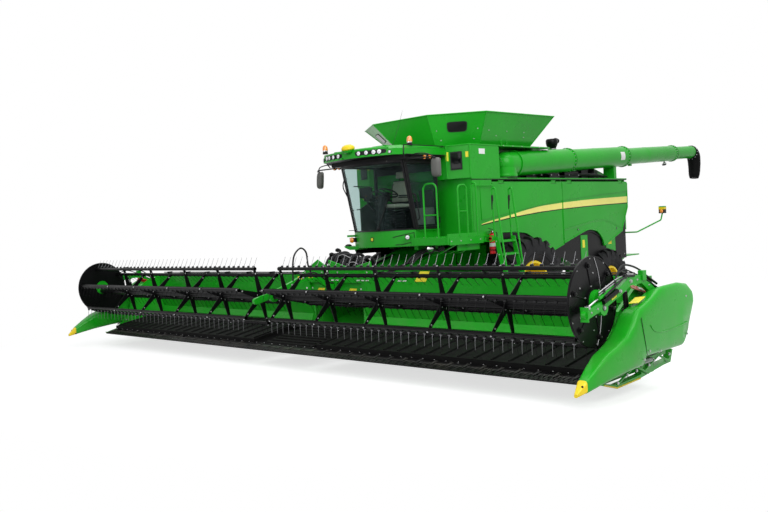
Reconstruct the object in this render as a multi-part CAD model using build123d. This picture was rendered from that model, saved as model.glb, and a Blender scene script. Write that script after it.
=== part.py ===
from build123d import *
import os
from math import cos, sin, radians, hypot, atan2, degrees

# Combine harvester with a wide draper header, full size, in millimetres.
# +X is the driving direction, +Y the operator's left, +Z up, and Z = 0 is the ground.
# Everything below is placed from the front axle: x = 0 there. The last step moves each piece by
# axle_x, which puts the middle of the whole machine's length over the origin.

# ---- driving dimensions -------------------------------------------------------------------------
nose_x = 6080             # header nose tips, ahead of the front axle
spout_x = -9060           # rear rim of the stowed unloading spout
axle_x = -(nose_x + spout_x) / 2

wheelbase = 3685
front_tyre_r = 1020
front_tyre_w = 800
front_tyre_y = 1690       # middle of the front tyre
front_rim_r = 505
rear_tyre_r = 785
rear_tyre_w = 590
rear_tyre_y = 1460
rear_rim_r = 370
hub_gap = 0.05            # radial running clearance of every shaft
seat_gap = 0.3            # clearance of a piece that rests beside its carrier

body_y = 1600             # outer face of the side panels
core_y = 1100             # half width of the closed threshing body
core_top = 3200
deck_z = 3250             # underside of the deck that covers the side panels
deck_t = 30
panel_front_x = 1450      # front edge of the panelled body
rear_axle_x = -wheelbase
panel_rear_x = rear_axle_x - 1115
door_front_x = 800        # front edge of the opening side panels
door_split_x = -1800      # where front and rear side panels meet
door_t = 40
door_gap = 10
rail_y = 540              # middle of the main frame rails
rail_w = 120
rail_z = 1180
rail_h = 160

tank_front_x = 1600
tank_side_x = 1480        # where the slanted front corner meets the side
tank_rear_x = -1400
tank_top = 3950
tank_wall = 30
recess_x = 450            # front end of the recess that holds the unloading tube
recess_y = 1120
flare_top = 4600
flare_t = 12

auger_x = 80              # vertical swing axis of the unloading tube
auger_y = 1420
auger_z = 3575            # tube axis height at the swing axis
auger_end_x = -8720       # tube end when stowed
auger_end_y = 1545
auger_end_z = 4040
auger_r = (262, 245, 205, 172)   # tube radius, section by section
auger_joint = (0.27, 0.555, 0.86)  # section ends as shares of the tube length

cab_y = 870
cab_rear_x = 1640
cab_side_x = 2360         # where side and curved front meet, at floor level
cab_nose_x = 2620
cab_lean = 290            # the glass leans forward by this much
cab_base_z = 1990
cab_floor_z = 2310
cab_eave_z = 3680
roof_top = 3950
roof_nose_x = 3250
roof_y = 1100
roof_rear_x = 1615
glass_t = 8
post_w = 60

platform_z = 2110
platform_y = 1850
platform_rear_x = 850
platform_front_x = 2570
rail_tube_r = 17
ladder_x = 1450           # ladder hinge, at its front stringer
ladder_y = platform_y + 200
ladder_w = 550
ladder_foot_z = 560

feeder_x = 850            # feeder pivot
feeder_z = 1600
feeder_y = 700
feeder_wall = 15
feeder_front_x = 3500
feeder_frame_x = 3550     # front face of the feeder's coupling frame
header_y = 6250           # half width of cut
header_back_x = 3650
beam = 150
cutter_x = 5352
cutter_z = 290
reel_x = 5290
reel_z = 1260
reel_r = 520              # bat circle
bat_tube_r = 29
reel_y = header_y + 180   # outer end of each reel half
reel_inner_y = 330
reel_tube_r = 66
disc_r = 575              # end discs, which turn about an eccentric above the reel axis
disc_t = 24
disc_rise = 75
spider_y = (371, 1537, 2692, 3997, 5121)
bats = 6
bat_start = 17            # first bat, degrees up from straight ahead
reel_arm_x = 3800
reel_arm_z = 1300
end_arm_y = header_y + 300
arm_w = 60

# chassis
axle_top = rail_z
kingpin_y = 1010
kingpin_r = 40
spindle_r = 90
rear_spindle_r = 60
drive_face_y = 1540       # outer face of the front final drives
disc_in_y = 1600          # inner face of the front wheel discs
knuckle_face_y = 1180
rear_disc_in_y = 1240
steer_rod_z = rear_tyre_r + 108
steer_rod_x = rear_axle_x + 230
steer_arm_y = kingpin_y - 80
hitch_x = rear_axle_x - 580
hitch_r = 16

# body
hinge_z = 3215            # side panel hinge line
hinge_y = body_y - door_t / 2
hinge_pin_r = 8
hinge_len = 140
door_top = hinge_z - 18
hood_top = 3620
engine_bay = (-4200, -2900, -570, 570, 2500)   # rear, front, right, left, floor
feeder_pin_r = 50
# name, rear x, front x of the opening side panels
SIDE_DOORS = (("front", door_split_x, door_front_x), ("rear", panel_rear_x, door_split_x - door_gap))
arch_gap = 120            # side panels stay this far outside the tyres
# plan corners of the flared extension: x, y at the foot, and at the rim
FLARE = ((1540, 790, 1740, 770), (950, 1450, 1030, 1730), (-800, 1450, -1220, 1850))
screen_x = -2650
screen_z = 3545
screen_r = 235

# unloading auger
auger_foot_top = 3300
pivot_r = 250

# cab
visor_z = 3760            # underside of the roof's rim and front visor
gutter_x = 2760           # front end of the lower rim above the doors
door_rear_x = cab_rear_x + post_w - 30
cab_door_y = cab_y + 20   # middle of the door's thickness
cab_door_t = 28
cab_hinge_x = cab_rear_x + 12
cab_hinge_r = 9
CAB_HINGES = (2480, 3440)
seat_x = 2020
seat_z = cab_floor_z + 430

# access
skirt_t = 20              # upright plates along the platform's edges
skirt_h = 110
LADDER_HINGES = (platform_z - 50, )
mirror_arm_z = cab_eave_z - 14 - seat_gap

# feeder house and header
lift_x = 260              # header lift cylinders: lower pin on the axle
lift_z = 960
lift_y = 600
lift_pin_r = 25
eye_play = 8              # room round a rod eye's pin
lift_eye = (2600, 610)    # rod eye pin under the feeder house
lift_barrel_r = 58
lift_barrel_len = 1500
lift_rod_start = 1100     # where the rod begins, from the lower pin
feeder_low = 450
feeder_high = 1290
side_sheet_y = header_y + 100   # inner face of the end sheets
back_x = header_back_x
mouth_y = 680
ARM_PLACES = (560, 960, 2200, 3500, 4800, header_y - 150)
knife_back_x = 5125
BELT_LOW = ((3900, 560), (5110, 360))    # underside of the side belts, rear and front
FEED_LOW = ((3812, 510), (5100, 297))    # underside of the centre belt
belt_t = 60
reel_pin_r = 30
cyl_y = end_arm_y - 88
reel_cyl = (4480, 880)    # reel lift cylinders: lower pin on the end sheet
reel_eye = (4560, 1500)   # rod eye pin on the reel arm
cyl_pin_r = reel_pin_r * 0.7
reel_barrel_r = 34
reel_barrel_len = 520
reel_rod_start = 150      # where the rod begins, from the lower pin
# sections of the left crop divider: x, inner and outer y beyond the cut, underside, top
DIVIDER = ((3240, 350, 560, 560, 1350), (3560, 350, 565, 560, 1380), (4660, 350, 560, 560, 1170),
           (4700, 350, 560, 445, 1155), (4860, 220, 555, 440, 1090), (5070, 205, 540, 430, 885),
           (5500, 230, 500, 385, 750), (5930, 290, 435, 310, 470))
divider_in_y = header_y + DIVIDER[0][1]
divider_corner = 60
disc_z = reel_z + disc_rise
disc_y = reel_y           # outer face of the end discs
boss_r = 150

LEFT_RIGHT = (("left", 1), ("right", -1))


# ---- shape helpers ------------------------------------------------------------------------------
def block(x0, x1, y0, y1, z0, z1):
    """A box from its six faces."""
    at = Pos((x0 + x1) / 2, (y0 + y1) / 2, (z0 + z1) / 2)
    return at * Box(abs(x1 - x0), abs(y1 - y0), abs(z1 - z0))


def side_plate(outline, y0, y1):
    """An X-Z outline given thickness from y0 to y1."""
    low, high = min(y0, y1), max(y0, y1)
    face = Plane.XZ.offset(-high) * Polygon(*outline, align=None)
    return extrude(face, amount=high - low, dir=(0, -1, 0))


def front_plate(outline, x0, x1):
    """A Y-Z outline given thickness from x0 to x1."""
    low, high = min(x0, x1), max(x0, x1)
    face = Plane.YZ.offset(low) * Polygon(*outline, align=None)
    return extrude(face, amount=high - low, dir=(1, 0, 0))


def floor_plate(outline, z0, z1):
    """An X-Y outline given thickness from z0 to z1."""
    face = Plane.XY.offset(z0) * Polygon(*outline, align=None)
    return raised(face, z1 - z0)


def raised(face, height):
    """A level face given height."""
    return extrude(face, amount=height, dir=(0, 0, 1))


def rod(start, end, r):
    """A round bar between two points."""
    a, b = Vector(*start), Vector(*end)
    align = (Align.CENTER, Align.CENTER, Align.MIN)
    return Plane(origin=a, z_dir=b - a) * Cylinder(r, (b - a).length, align=align)


def along_y(x, z, r, y0, y1):
    """A round bar that lies across the machine."""
    return rod((x, min(y0, y1), z), (x, max(y0, y1), z), r)


def bar(start, end, width, height):
    """A flat bar in an X-Z plane: width runs across the machine, height across the bar."""
    (x0, y, z0), (x1, _, z1) = start, end
    length = hypot(x1 - x0, z1 - z0)
    turn = degrees(atan2(z1 - z0, x1 - x0))
    return Pos((x0 + x1) / 2, y, (z0 + z1) / 2) * Rot(0, -turn, 0) * Box(length, width, height)


def bent_tube(points, r, bend):
    """A round tube along straight runs with equal bends."""
    path = FilletPolyline(*points, radius=bend)
    return sweep(Plane(origin=path @ 0, z_dir=path % 0) * Circle(r), path)


def both(make, *args):
    """The left piece and its mirror image on the right."""
    piece = make(*args)
    return [piece, mirror(piece, about=Plane.XZ)]


def solids_of(shapes):
    """Every solid in a shape or a list of shapes."""
    found = []
    for shape in shapes if isinstance(shapes, (list, tuple)) else [shapes]:
        found += shape.solids()
    return found


def save(name, shapes):
    """Write one named piece, moved from the axle frame to the machine's own frame."""
    moved = [Pos(axle_x, 0, 0) * solid for solid in solids_of(shapes)]
    whole = moved[0] if len(moved) == 1 else Compound(children=moved)
    whole.label = name
    export_step(whole, f"parts/{name}.step")


# ---- chassis ------------------------------------------------------------------------------------
def chassis_frame():
    frame = None
    for side in (1, -1):
        y0, y1 = side * (rail_y - rail_w / 2), side * (rail_y + rail_w / 2)
        rail = block(panel_rear_x + 100, 560, y0, y1, rail_z, rail_z + rail_h)
        frame = rail if frame is None else frame + rail
    inner = rail_y - rail_w / 2
    for x in (460, -2500, rear_axle_x + 485, panel_rear_x + 200):
        frame += block(x - 50, x + 50, -inner, inner, rail_z + 20, rail_z + rail_h - 20)
    return frame


def front_axle():
    """Axle beam, final drives and spindles that carry the front wheels."""
    axle = block(-150, 150, -drive_face_y + 260, drive_face_y - 260, axle_top - 300, axle_top)
    axle += along_y(0, front_tyre_r, 130, -drive_face_y + 200, drive_face_y - 200)
    for side in (1, -1):
        axle += along_y(0, front_tyre_r, 225, side * (drive_face_y - 300), side * drive_face_y)
        axle += along_y(0, front_tyre_r, spindle_r, side * drive_face_y, side * (disc_in_y + 140))
        lug = block(150, 330, side * lift_y - 60, side * lift_y + 60, lift_z - 60, axle_top - 60)
        lug -= block(190, 340, side * lift_y - 31, side * lift_y + 31, lift_z - 100, lift_z + 100)
        lug += along_y(lift_x, lift_z, lift_pin_r, side * lift_y - 55, side * lift_y + 55)
        axle += lug
    return axle


def rear_axle():
    """Rear axle beam hung under the frame, with its kingpins and the steering cylinder."""
    x, z = rear_axle_x, rear_tyre_r
    axle = block(x - 110, x + 110, -kingpin_y + 110, kingpin_y - 110, z - 90, z + 90)
    for y in (rail_y, -rail_y):
        axle += block(x - 110, x + 110, y - rail_w / 2, y + rail_w / 2, z + 90, rail_z)
    for side in (1, -1):
        for z0, z1 in ((z - 190, z - 125), (z + 125, z + 190)):
            axle += block(x - 60, x + 60, side * (kingpin_y - 190), side * (kingpin_y + 50), z0, z1)
        axle += block(x - 60, x + 60, side * (kingpin_y - 190), side * (kingpin_y - 110), z - 190, z + 190)
        axle += rod((x, side * kingpin_y, z - 190), (x, side * kingpin_y, z + 190), kingpin_r)
    axle += along_y(steer_rod_x, steer_rod_z, 60, -330, 330)
    axle += block(x + 100, steer_rod_x, -280, 280, steer_rod_z - 30, steer_rod_z + 30)
    axle -= along_y(steer_rod_x, steer_rod_z, 28 + hub_gap, -400, 400)
    hitch = block(x - 620, x - 110, -60, 60, z - 70, z + 20)
    hitch -= block(x - 640, x - 540, -70, 70, z - 45, z - 5)
    hitch -= rod((hitch_x, 0, z - 200), (hitch_x, 0, z + 200), hitch_r)
    return axle + hitch


def knuckle(side):
    """Steering knuckle: a sleeve on the kingpin, the wheel spindle and the steering arm."""
    x, z = rear_axle_x, rear_tyre_r
    y = side * kingpin_y
    body = rod((x, y, z - 120), (x, y, z + 120), kingpin_r + 28)
    body += along_y(x, z, 85, y + side * 20, side * knuckle_face_y)
    body += along_y(x, z, rear_spindle_r, side * knuckle_face_y, side * (rear_disc_in_y + 110))
    body += block(x + 40, steer_rod_x + 40, y - 30, y + 30, z + 97, z + 119)
    body -= rod((x, y, z - 150), (x, y, z + 150), kingpin_r + hub_gap)
    return body


def steering_rod():
    """The double-ended rod of the steering cylinder, which slides across the machine."""
    return along_y(steer_rod_x, steer_rod_z, 28, -steer_arm_y, steer_arm_y)


def wheel_rim(r, width, y_mid, disc_y, bore_r, hub_r, hub_len):
    """A dished rim: barrel with flanges, disc and hub, for the left side."""
    y0, y1 = y_mid - width / 2, y_mid + width / 2
    barrel = along_y(0, 0, r - 25, y0, y1) - along_y(0, 0, r - 45, y0 - 1, y1 + 1)
    for a, b in ((y0, y0 + 25), (y1 - 25, y1)):
        barrel += along_y(0, 0, r, a, b) - along_y(0, 0, r - 45, a - 1, b + 1)
    rim = barrel + along_y(0, 0, r - 40, disc_y, disc_y + 25)
    rim += along_y(0, 0, hub_r, disc_y - 30, disc_y + hub_len)
    return rim - along_y(0, 0, bore_r, disc_y - 40, disc_y + hub_len - 25)


def tyre(r, width, y_mid, rim_r):
    """A closed tyre ring with rounded shoulders, seated between the rim flanges."""
    half = width / 2
    side = r * 0.80
    bead = half * 0.72 - seat_gap
    outline = [(bead, rim_r - 25 + seat_gap), (bead, rim_r + 6), (half, rim_r + (side - rim_r) * 0.45),
               (half, side), (half * 0.93, r - 45), (half * 0.80, r - 12), (half * 0.45, r)]
    outline += [(-u, v) for u, v in reversed(outline)]
    profile = Plane.YZ * Polygon(*[(y_mid + u, v) for u, v in outline], align=None)
    return revolve(profile, Axis.Y)


def front_wheel(side):
    place = Pos(0, 0, front_tyre_r)
    rim = wheel_rim(front_rim_r, front_tyre_w * 0.72 + 50, front_tyre_y, disc_in_y,
                    spindle_r + hub_gap, 190, 170)
    ring = tyre(front_tyre_r, front_tyre_w, front_tyre_y, front_rim_r)
    pair = [place * rim, place * ring]
    return pair if side > 0 else [mirror(piece, about=Plane.XZ) for piece in pair]


def rear_wheel(side):
    place = Pos(rear_axle_x, 0, rear_tyre_r)
    rim = wheel_rim(rear_rim_r, rear_tyre_w * 0.72 + 50, rear_tyre_y, rear_disc_in_y,
                    rear_spindle_r + hub_gap, 130, 140)
    ring = tyre(rear_tyre_r, rear_tyre_w, rear_tyre_y, rear_rim_r)
    pair = [place * rim, place * ring]
    return pair if side > 0 else [mirror(piece, about=Plane.XZ) for piece in pair]


# ---- body ---------------------------------------------------------------------------------------
def hinge_places(x0, x1):
    """The two hinge middles of a side panel."""
    return x0 + 320, x1 - 320


def threshing_housing():
    """The closed rotor and cleaning body, its deck, front bulkheads and fixed front panels."""
    outline = [(450, rail_z + rail_h), (450, 2050), (panel_front_x - 40, 2050),
               (panel_front_x - 40, core_top), (panel_rear_x + 60, core_top),
               (panel_rear_x + 60, 1900), (panel_rear_x + 300, 1640), (rear_axle_x + 885, 1640),
               (rear_axle_x + 1085, rail_z + rail_h)]
    body = side_plate(outline, -core_y, core_y)
    shoe = [(-260, rail_z + rail_h + 5), (-260, 980), (-2300, 900), (-2440, rail_z + rail_h + 5)]
    body += side_plate(shoe, -rail_y + rail_w / 2 + 5, rail_y - rail_w / 2 - 5)
    for side in (1, -1):
        mount_y = (side * 800, side * 900)
        body += block(900, panel_front_x - 40, *mount_y, cab_base_z - 80, 2050)
        body += block(900, 2350, *mount_y, cab_base_z - 80, cab_base_z)
        body += block(panel_rear_x, panel_front_x, 0, side * body_y, deck_z, deck_z + deck_t)
        body += block(panel_front_x - 40, panel_front_x, 0, side * body_y, platform_z + 40, deck_z)
        body += block(door_front_x + door_gap, panel_front_x, side * (body_y - door_t),
                      side * body_y, platform_z + 40, deck_z)
        body += block(panel_rear_x, panel_rear_x + 60, 0, side * (body_y - 60), 2000, deck_z)
        body += block(door_split_x - 60, door_split_x - 30, 0, side * (body_y - door_t - 20), 1900, deck_z)
        for _, x0, x1 in SIDE_DOORS:
            for x in hinge_places(x0, x1):
                body += hinge_ears(x, side)
        cheek = [(420, 1345), (420, 1900), (feeder_x + 60, 1900), (feeder_x + 130, feeder_z),
                 (feeder_x + 20, 1470), (600, 1345)]
        body += side_plate(cheek, side * (feeder_y + 30), side * (feeder_y + 75))
        body += along_y(feeder_x, feeder_z, feeder_pin_r, side * (feeder_y - 40), side * (feeder_y + 40))
    body += block(panel_rear_x, panel_front_x, -core_y, core_y, core_top - 5, deck_z + deck_t)
    x0, x1, y0, y1, z0 = engine_bay
    return body - block(x0, x1, y0, y1, z0, deck_z + deck_t + 5)


def hinge_ears(x, side):
    """Two ears and a pin under the deck, which carry one side panel hinge."""
    y0, y1 = side * (hinge_y - 14), side * (hinge_y + 14)
    half = hinge_len / 2
    ears = block(x - half - 14, x - half - 1, y0, y1, hinge_z - 14, deck_z)
    ears += block(x + half + 1, x + half + 14, y0, y1, hinge_z - 14, deck_z)
    return ears + rod((x - half - 14, side * hinge_y, hinge_z), (x + half + 14, side * hinge_y, hinge_z),
                      hinge_pin_r)


def side_door_outline(which):
    """Lower edges follow the tyres, as arcs of straight steps."""
    if which == "front":
        r = front_tyre_r + arch_gap
        low = platform_z + 40
        edge = [(door_front_x, low), (350, low)]
        edge += [(r * cos(radians(a)), front_tyre_r + r * sin(radians(a))) for a in (108, 120, 132, 142)]
        top = [(door_split_x, door_top), (door_front_x, door_top)]
        return top + edge + [(-1330, 1660), (door_split_x, 1790)]
    x_rear, x_front = SIDE_DOORS[1][1:]
    x = rear_axle_x
    return [(x_rear, door_top), (x_front, door_top), (x_front, 1810), (x + 1085, 2020), (x + 785, 2075),
            (x + 425, 2030), (x + 105, 1850), (x - 765, 1960), (x_rear + 10, 2560), (x_rear, 2900)]


def side_door(which, x0, x1, side):
    """One opening side panel with its two hinge barrels."""
    outline = side_door_outline(which)
    door = side_plate(outline, side * (body_y - door_t), side * body_y)
    for x in hinge_places(x0, x1):
        half = hinge_len / 2
        door -= block(x - half - 25, x + half + 25, side * (body_y - door_t - 5), side * (body_y + 5),
                      hinge_z - 40, hinge_z + 50)
        door += rod((x - half, side * hinge_y, hinge_z), (x + half, side * hinge_y, hinge_z), 15)
        door += block(x - half, x + half, side * (hinge_y - 8), side * (hinge_y + 8), hinge_z - 45,
                      hinge_z - 5)
        door -= rod((x - half - 1, side * hinge_y, hinge_z), (x + half + 1, side * hinge_y, hinge_z),
                    hinge_pin_r + hub_gap)
    return door


def tank_outline(inset):
    """Plan of the grain tank, with the unloading tube's recess on the left."""
    a = inset
    return [(tank_front_x - a, -core_y + a * 0.3), (tank_side_x - a, -body_y + a),
            (tank_rear_x + a, -body_y + a), (tank_rear_x + a, recess_y - a),
            (recess_x - a, recess_y - a), (recess_x - a + 60, body_y - a),
            (tank_side_x - a, body_y - a), (tank_front_x - a, core_y - a * 0.3)]


def grain_tank():
    """Open tank with the roof edge that covers the unloading tube."""
    base = deck_z + deck_t
    tank = floor_plate(tank_outline(0), base, tank_top)
    tank -= floor_plate(tank_outline(tank_wall), base + 40, tank_top + 10)
    edge = block(tank_rear_x, recess_x + 40, recess_y - 40, body_y, tank_top - 25, tank_top)
    return tank + edge - block(tank_rear_x + tank_wall, recess_x - tank_wall, 0, recess_y - tank_wall,
                               tank_top - 100, tank_top + 10)


def flare_face(z, column, inset):
    """One level of the extension: the corners on the left, then the same on the right."""
    left = [(row[column] - inset * (1 if row[column] > 0 else -1), row[column + 1] - inset) for row in FLARE]
    right = [(x, -y) for x, y in reversed(left)]
    return Plane.XY.offset(z) * Polygon(*(left + right), align=None)


def tank_extensions():
    """The flared extension that stands on the grain tank, open at the top."""
    outer = loft([flare_face(tank_top, 0, 0), flare_face(flare_top, 2, 0)], ruled=True)
    inner = loft([flare_face(tank_top - 1, 0, flare_t), flare_face(flare_top + 1, 2, flare_t)], ruled=True)
    rim = outer - inner
    flange = [(1590, -820), (1590, 820), (1010, 1530), (-1200, 1530), (-1200, -1530), (1010, -1530)]
    mouth = [(1400, -760), (1400, 760), (1000, 1100), (-1350, 1100), (-1350, -1100), (1000, -1100)]
    foot = floor_plate(flange, tank_top, tank_top + 6)
    foot -= floor_plate(mouth, tank_top - 1, tank_top + 7)
    return rim + foot


def engine_hood():
    """Engine deck cover behind the tank, with the air inlet box on the right."""
    base = deck_z + deck_t
    front, rear = tank_rear_x - 5, panel_rear_x + 100
    outer = [(front, base), (front, 3860), (-2300, 3860), (-3900, hood_top), (rear, 3400), (rear, base)]
    inner = [(front - 40, base - 1), (front - 40, 3820), (-2310, 3820), (-3890, hood_top - 40),
             (rear + 40, 3370), (rear + 40, base - 1)]
    hood = side_plate(outer, -1080, 1080) - side_plate(inner, -1040, 1040)
    hood += block(-3700, front, -1560, -1080, base, 3800)
    hood -= along_y(screen_x, screen_z, screen_r + 12, -1700, -1500)
    return hood + along_y(screen_x, screen_z, 40, -1500, -1545)


def rotary_screen():
    """The round cooling air screen, which turns on its stub."""
    screen = along_y(screen_x, screen_z, screen_r, -1585, -1547)
    screen += along_y(screen_x, screen_z, 60, -1550, -1510)
    return screen - along_y(screen_x, screen_z, 40 + hub_gap, -1590, -1490)


def engine_block():
    """The engine as one plain block in its bay."""
    x0, x1, y0, y1, z0 = engine_bay
    return block(x0 + 50, x1 - 50, y0 + 50, y1 - 50, z0 + seat_gap, 3480)


def exhaust_stack():
    """Exhaust with its curved outlet."""
    stack = bent_tube([(-2150, 880, 3860), (-2150, 880, 4190), (-2290, 880, 4260)], 62, 70)
    return stack + rod((-2150, 880, 3862), (-2150, 880, 4010), 85)


def straw_chopper():
    """Chopper and spreader housing at the rear, with the tail boards and rear bar."""
    x = panel_rear_x
    outline = [(x, 3150), (x, 1560), (x - 550, 1180), (x - 760, 1260), (x - 720, 1800), (x - 500, 2300),
               (x - 380, 3050)]
    chopper = side_plate(outline, -1080, 1080)
    chopper += block(x - 1280, x - 500, -1200, 1200, 1290, 1320)
    for y in (560, -560):
        chopper += rod((x - 760, y, 1130), (x - 760, y, 1300), 45)
        chopper += rod((x - 760, y, 1080), (x - 760, y, 1135), 420)
    for side in (1, -1):
        chopper += bent_tube([(x - 60, side * 1075, 1920), (x - 150, side * 1750, 1920),
                              (x - 800, side * 2080, 2190), (x - 860, side * 2100, 2380)], 18, 60)
        chopper += block(x - 910, x - 810, side * 2030, side * 2170, 2360, 2530)
    return chopper


# ---- unloading auger ----------------------------------------------------------------------------
def auger_point(share):
    """A point on the unloading tube's axis."""
    return (auger_x + (auger_end_x - auger_x) * share, auger_y + (auger_end_y - auger_y) * share,
            auger_z + (auger_end_z - auger_z) * share)


def auger_foot():
    """The fixed turning ring on the deck and the rear cradle that carries the stowed tube."""
    ring = rod((auger_x, auger_y, deck_z + deck_t), (auger_x, auger_y, auger_foot_top), pivot_r)
    ring += rod((auger_x, auger_y, auger_foot_top), (auger_x, auger_y, auger_foot_top + 120), 120)
    share = (auger_x + 4300) / (auger_x - auger_end_x)
    x, y, z = auger_point(share)
    low = z - auger_r[1]
    cradle = block(x - 60, x + 60, y - 200, body_y - 30, deck_z + deck_t, low + 60)
    cradle -= rod(auger_point(share - 0.05), auger_point(share + 0.05), auger_r[1] + 3)
    return [ring, cradle]


def unloading_auger():
    """Elbow and tapered tube of the unloading auger, with the flanges between its sections."""
    tube = rod((auger_x, auger_y, auger_foot_top + 1), (auger_x, auger_y, auger_z), pivot_r)
    tube += Pos(auger_x, auger_y, auger_z) * Sphere(auger_r[0])
    ends = (0,) + auger_joint + (1,)
    for i, r in enumerate(auger_r):
        tube += rod(auger_point(ends[i]), auger_point(ends[i + 1]), r)
        if i:
            tube += rod(auger_point(ends[i] - 0.003), auger_point(ends[i] + 0.003), auger_r[i - 1] + 18)
    tube -= rod((auger_x, auger_y, auger_foot_top - 1), (auger_x, auger_y, auger_foot_top + 130), 121)
    bore = auger_r[-1] - 12
    tube -= rod(auger_point(0.93), auger_point(1.01), bore)
    return tube


def auger_spout():
    """Rubber-lipped spout that is bolted to the tube's end."""
    x0 = auger_end_x - 10
    y0, y1 = auger_end_y - 180, auger_end_y + 180
    z = auger_end_z
    outline = [(x0, z + 185), (x0 - 210, z + 165), (spout_x, z + 20), (spout_x, z - 740),
               (spout_x + 60, z - 800), (spout_x + 170, z - 810), (spout_x + 290, z - 740),
               (x0 - 30, z - 200), (x0, z - 185)]
    inner = [(x0 + 5, z + 165), (x0 - 200, z + 145), (spout_x + 18, z + 10), (spout_x + 18, z - 830),
             (spout_x + 270, z - 830), (spout_x + 270, z - 720), (x0 - 48, z - 185), (x0 + 5, z - 165)]
    spout = side_plate(outline, y0, y1) - side_plate(inner, y0 + 16, y1 - 16)
    return spout


# ---- cab ----------------------------------------------------------------------------------------
def cab_face(z, grow, lean, rear=cab_rear_x):
    """Plan of the cab at one level: straight sides and a curved front."""
    y, x, nose = cab_y + grow, cab_side_x + lean, cab_nose_x + grow + lean
    with BuildSketch(Plane.XY.offset(z)) as plan:
        with BuildLine():
            Polyline((x, -y), (rear - grow, -y), (rear - grow, y), (x, y))
            ThreePointArc((x, y), (nose, 0), (x, -y))
        make_face()
    return plan.sketch


def cab_shell():
    """Floor tub, pillars, rear wall and top ring of the cab."""
    shell = raised(cab_face(cab_base_z, 0, 0), cab_floor_z - cab_base_z)
    top0 = cab_eave_z - 40
    ring = raised(cab_face(top0, 0, cab_lean), 40)
    ring -= raised(cab_face(top0 - 1, -55, cab_lean - 10), 42)
    shell += ring
    rear = cab_rear_x
    for side in (1, -1):
        y0, y1 = side * (cab_y - 50), side * cab_y
        shell += block(rear, rear + post_w, y0, y1, cab_floor_z, top0)
        slant = [(cab_side_x - 45, cab_floor_z), (cab_side_x, cab_floor_z),
                 (cab_side_x + cab_lean, top0), (cab_side_x + cab_lean - 45, top0)]
        shell += side_plate(slant, y0, y1)
    shell += block(rear, rear + 30, -cab_y, cab_y, cab_floor_z, 2880)
    return shell + block(rear, rear + 30, -cab_y, cab_y, top0 - 160, top0)


def screen_face(z, lean):
    """The curved strip of windscreen glass at one level."""
    y = cab_y - 55
    x = cab_side_x + lean
    nose = cab_nose_x + lean
    with BuildSketch(Plane.XY.offset(z)) as strip:
        with BuildLine():
            ThreePointArc((x + 18, y), (nose, 0), (x + 18, -y))
            Line((x + 18, -y), (x + 8, -y))
            ThreePointArc((x + 8, -y), (nose - glass_t, 0), (x + 8, y))
            Line((x + 8, y), (x + 18, y))
        make_face()
    return strip.sketch


def cab_glass():
    """Windscreen, right-hand window and rear window."""
    z0, z1 = cab_floor_z + seat_gap, cab_eave_z - 40 - seat_gap
    screen = loft([screen_face(z0, 0), screen_face(z1, cab_lean)], ruled=True)
    gap = 6
    right = [(cab_rear_x + post_w + gap, z0), (cab_side_x - 45 - gap, z0),
             (cab_side_x + cab_lean - 45 - gap, z1), (cab_rear_x + post_w + gap, z1)]
    right_glass = side_plate(right, -cab_y + 2, -cab_y + 2 + glass_t)
    rear_glass = block(cab_rear_x + 2, cab_rear_x + 2 + glass_t, -cab_y + 51, cab_y - 51, 2880 + seat_gap,
                       cab_eave_z - 200 - seat_gap)
    return [screen, right_glass, rear_glass]


def roof_plan(z, inset):
    """Plan of the roof at one level: straight sides, cut corners and a curved nose."""
    y, nose = roof_y - inset, roof_nose_x - inset
    front = (3020 - inset, 980 - inset)
    front_right = (front[0], -front[1])
    with BuildSketch(Plane.XY.offset(z)) as face:
        with BuildLine():
            Polyline(front_right, (2800, -y), (roof_rear_x + inset, -y), (roof_rear_x + inset, y),
                     (2800, y), front)
            ThreePointArc(front, (nose, 0), front_right)
        make_face()
    return face.sketch


def cab_roof():
    """Roof with a front visor over a lower rim that seats on the pillars."""
    gutter = raised(roof_plan(cab_eave_z, 60), visor_z - cab_eave_z)
    gutter -= block(gutter_x, 3500, -2000, 2000, 0, visor_z)
    slab = raised(roof_plan(visor_z, 0), roof_top - 70 - visor_z)
    return gutter + slab + loft([roof_plan(roof_top - 70, 0), roof_plan(roof_top, 140)], ruled=True)


def door_outline(inset):
    """Outline of the cab door, leaning with the windscreen."""
    a = inset
    z0, z1 = cab_floor_z + 6, cab_eave_z - 12
    return [(door_rear_x + a, z0 + a), (cab_side_x - a * 1.1, z0 + a),
            (cab_side_x + cab_lean - 6 - a * 0.9, z1 - a), (door_rear_x + a, z1 - a)]


def cab_door():
    """Door frame with its hinge barrels."""
    y0, y1 = cab_door_y - cab_door_t / 2 + 1, cab_door_y + cab_door_t / 2
    frame = side_plate(door_outline(0), y0, y1) - side_plate(door_outline(48), y0 - 1, y1 + 1)
    x, y = cab_hinge_x, cab_door_y
    for z in CAB_HINGES:
        frame += block(x, door_rear_x + 10, y - 6, y + 6, z - 40, z + 40)
        frame += rod((x, y, z - 40), (x, y, z + 40), cab_hinge_r + 7)
        frame -= rod((x, y, z - 41), (x, y, z + 41), cab_hinge_r + hub_gap)
    return frame


def cab_hinge_pins():
    """Fixed brackets and pins on the rear left post."""
    brackets = None
    for z in CAB_HINGES:
        one = rod((cab_hinge_x, cab_door_y, z - 60), (cab_hinge_x, cab_door_y, z + 60), cab_hinge_r)
        for z0, z1 in ((z - 60, z - 42), (z + 42, z + 60)):
            one += block(cab_hinge_x - 12, cab_hinge_x + 12, cab_y - 5, cab_door_y + 10, z0, z1)
        brackets = one if brackets is None else brackets + one
    return brackets


def cab_door_glass():
    """Pane set inside the door frame."""
    return side_plate(door_outline(48.5), cab_door_y - glass_t / 2, cab_door_y + glass_t / 2)


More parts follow.
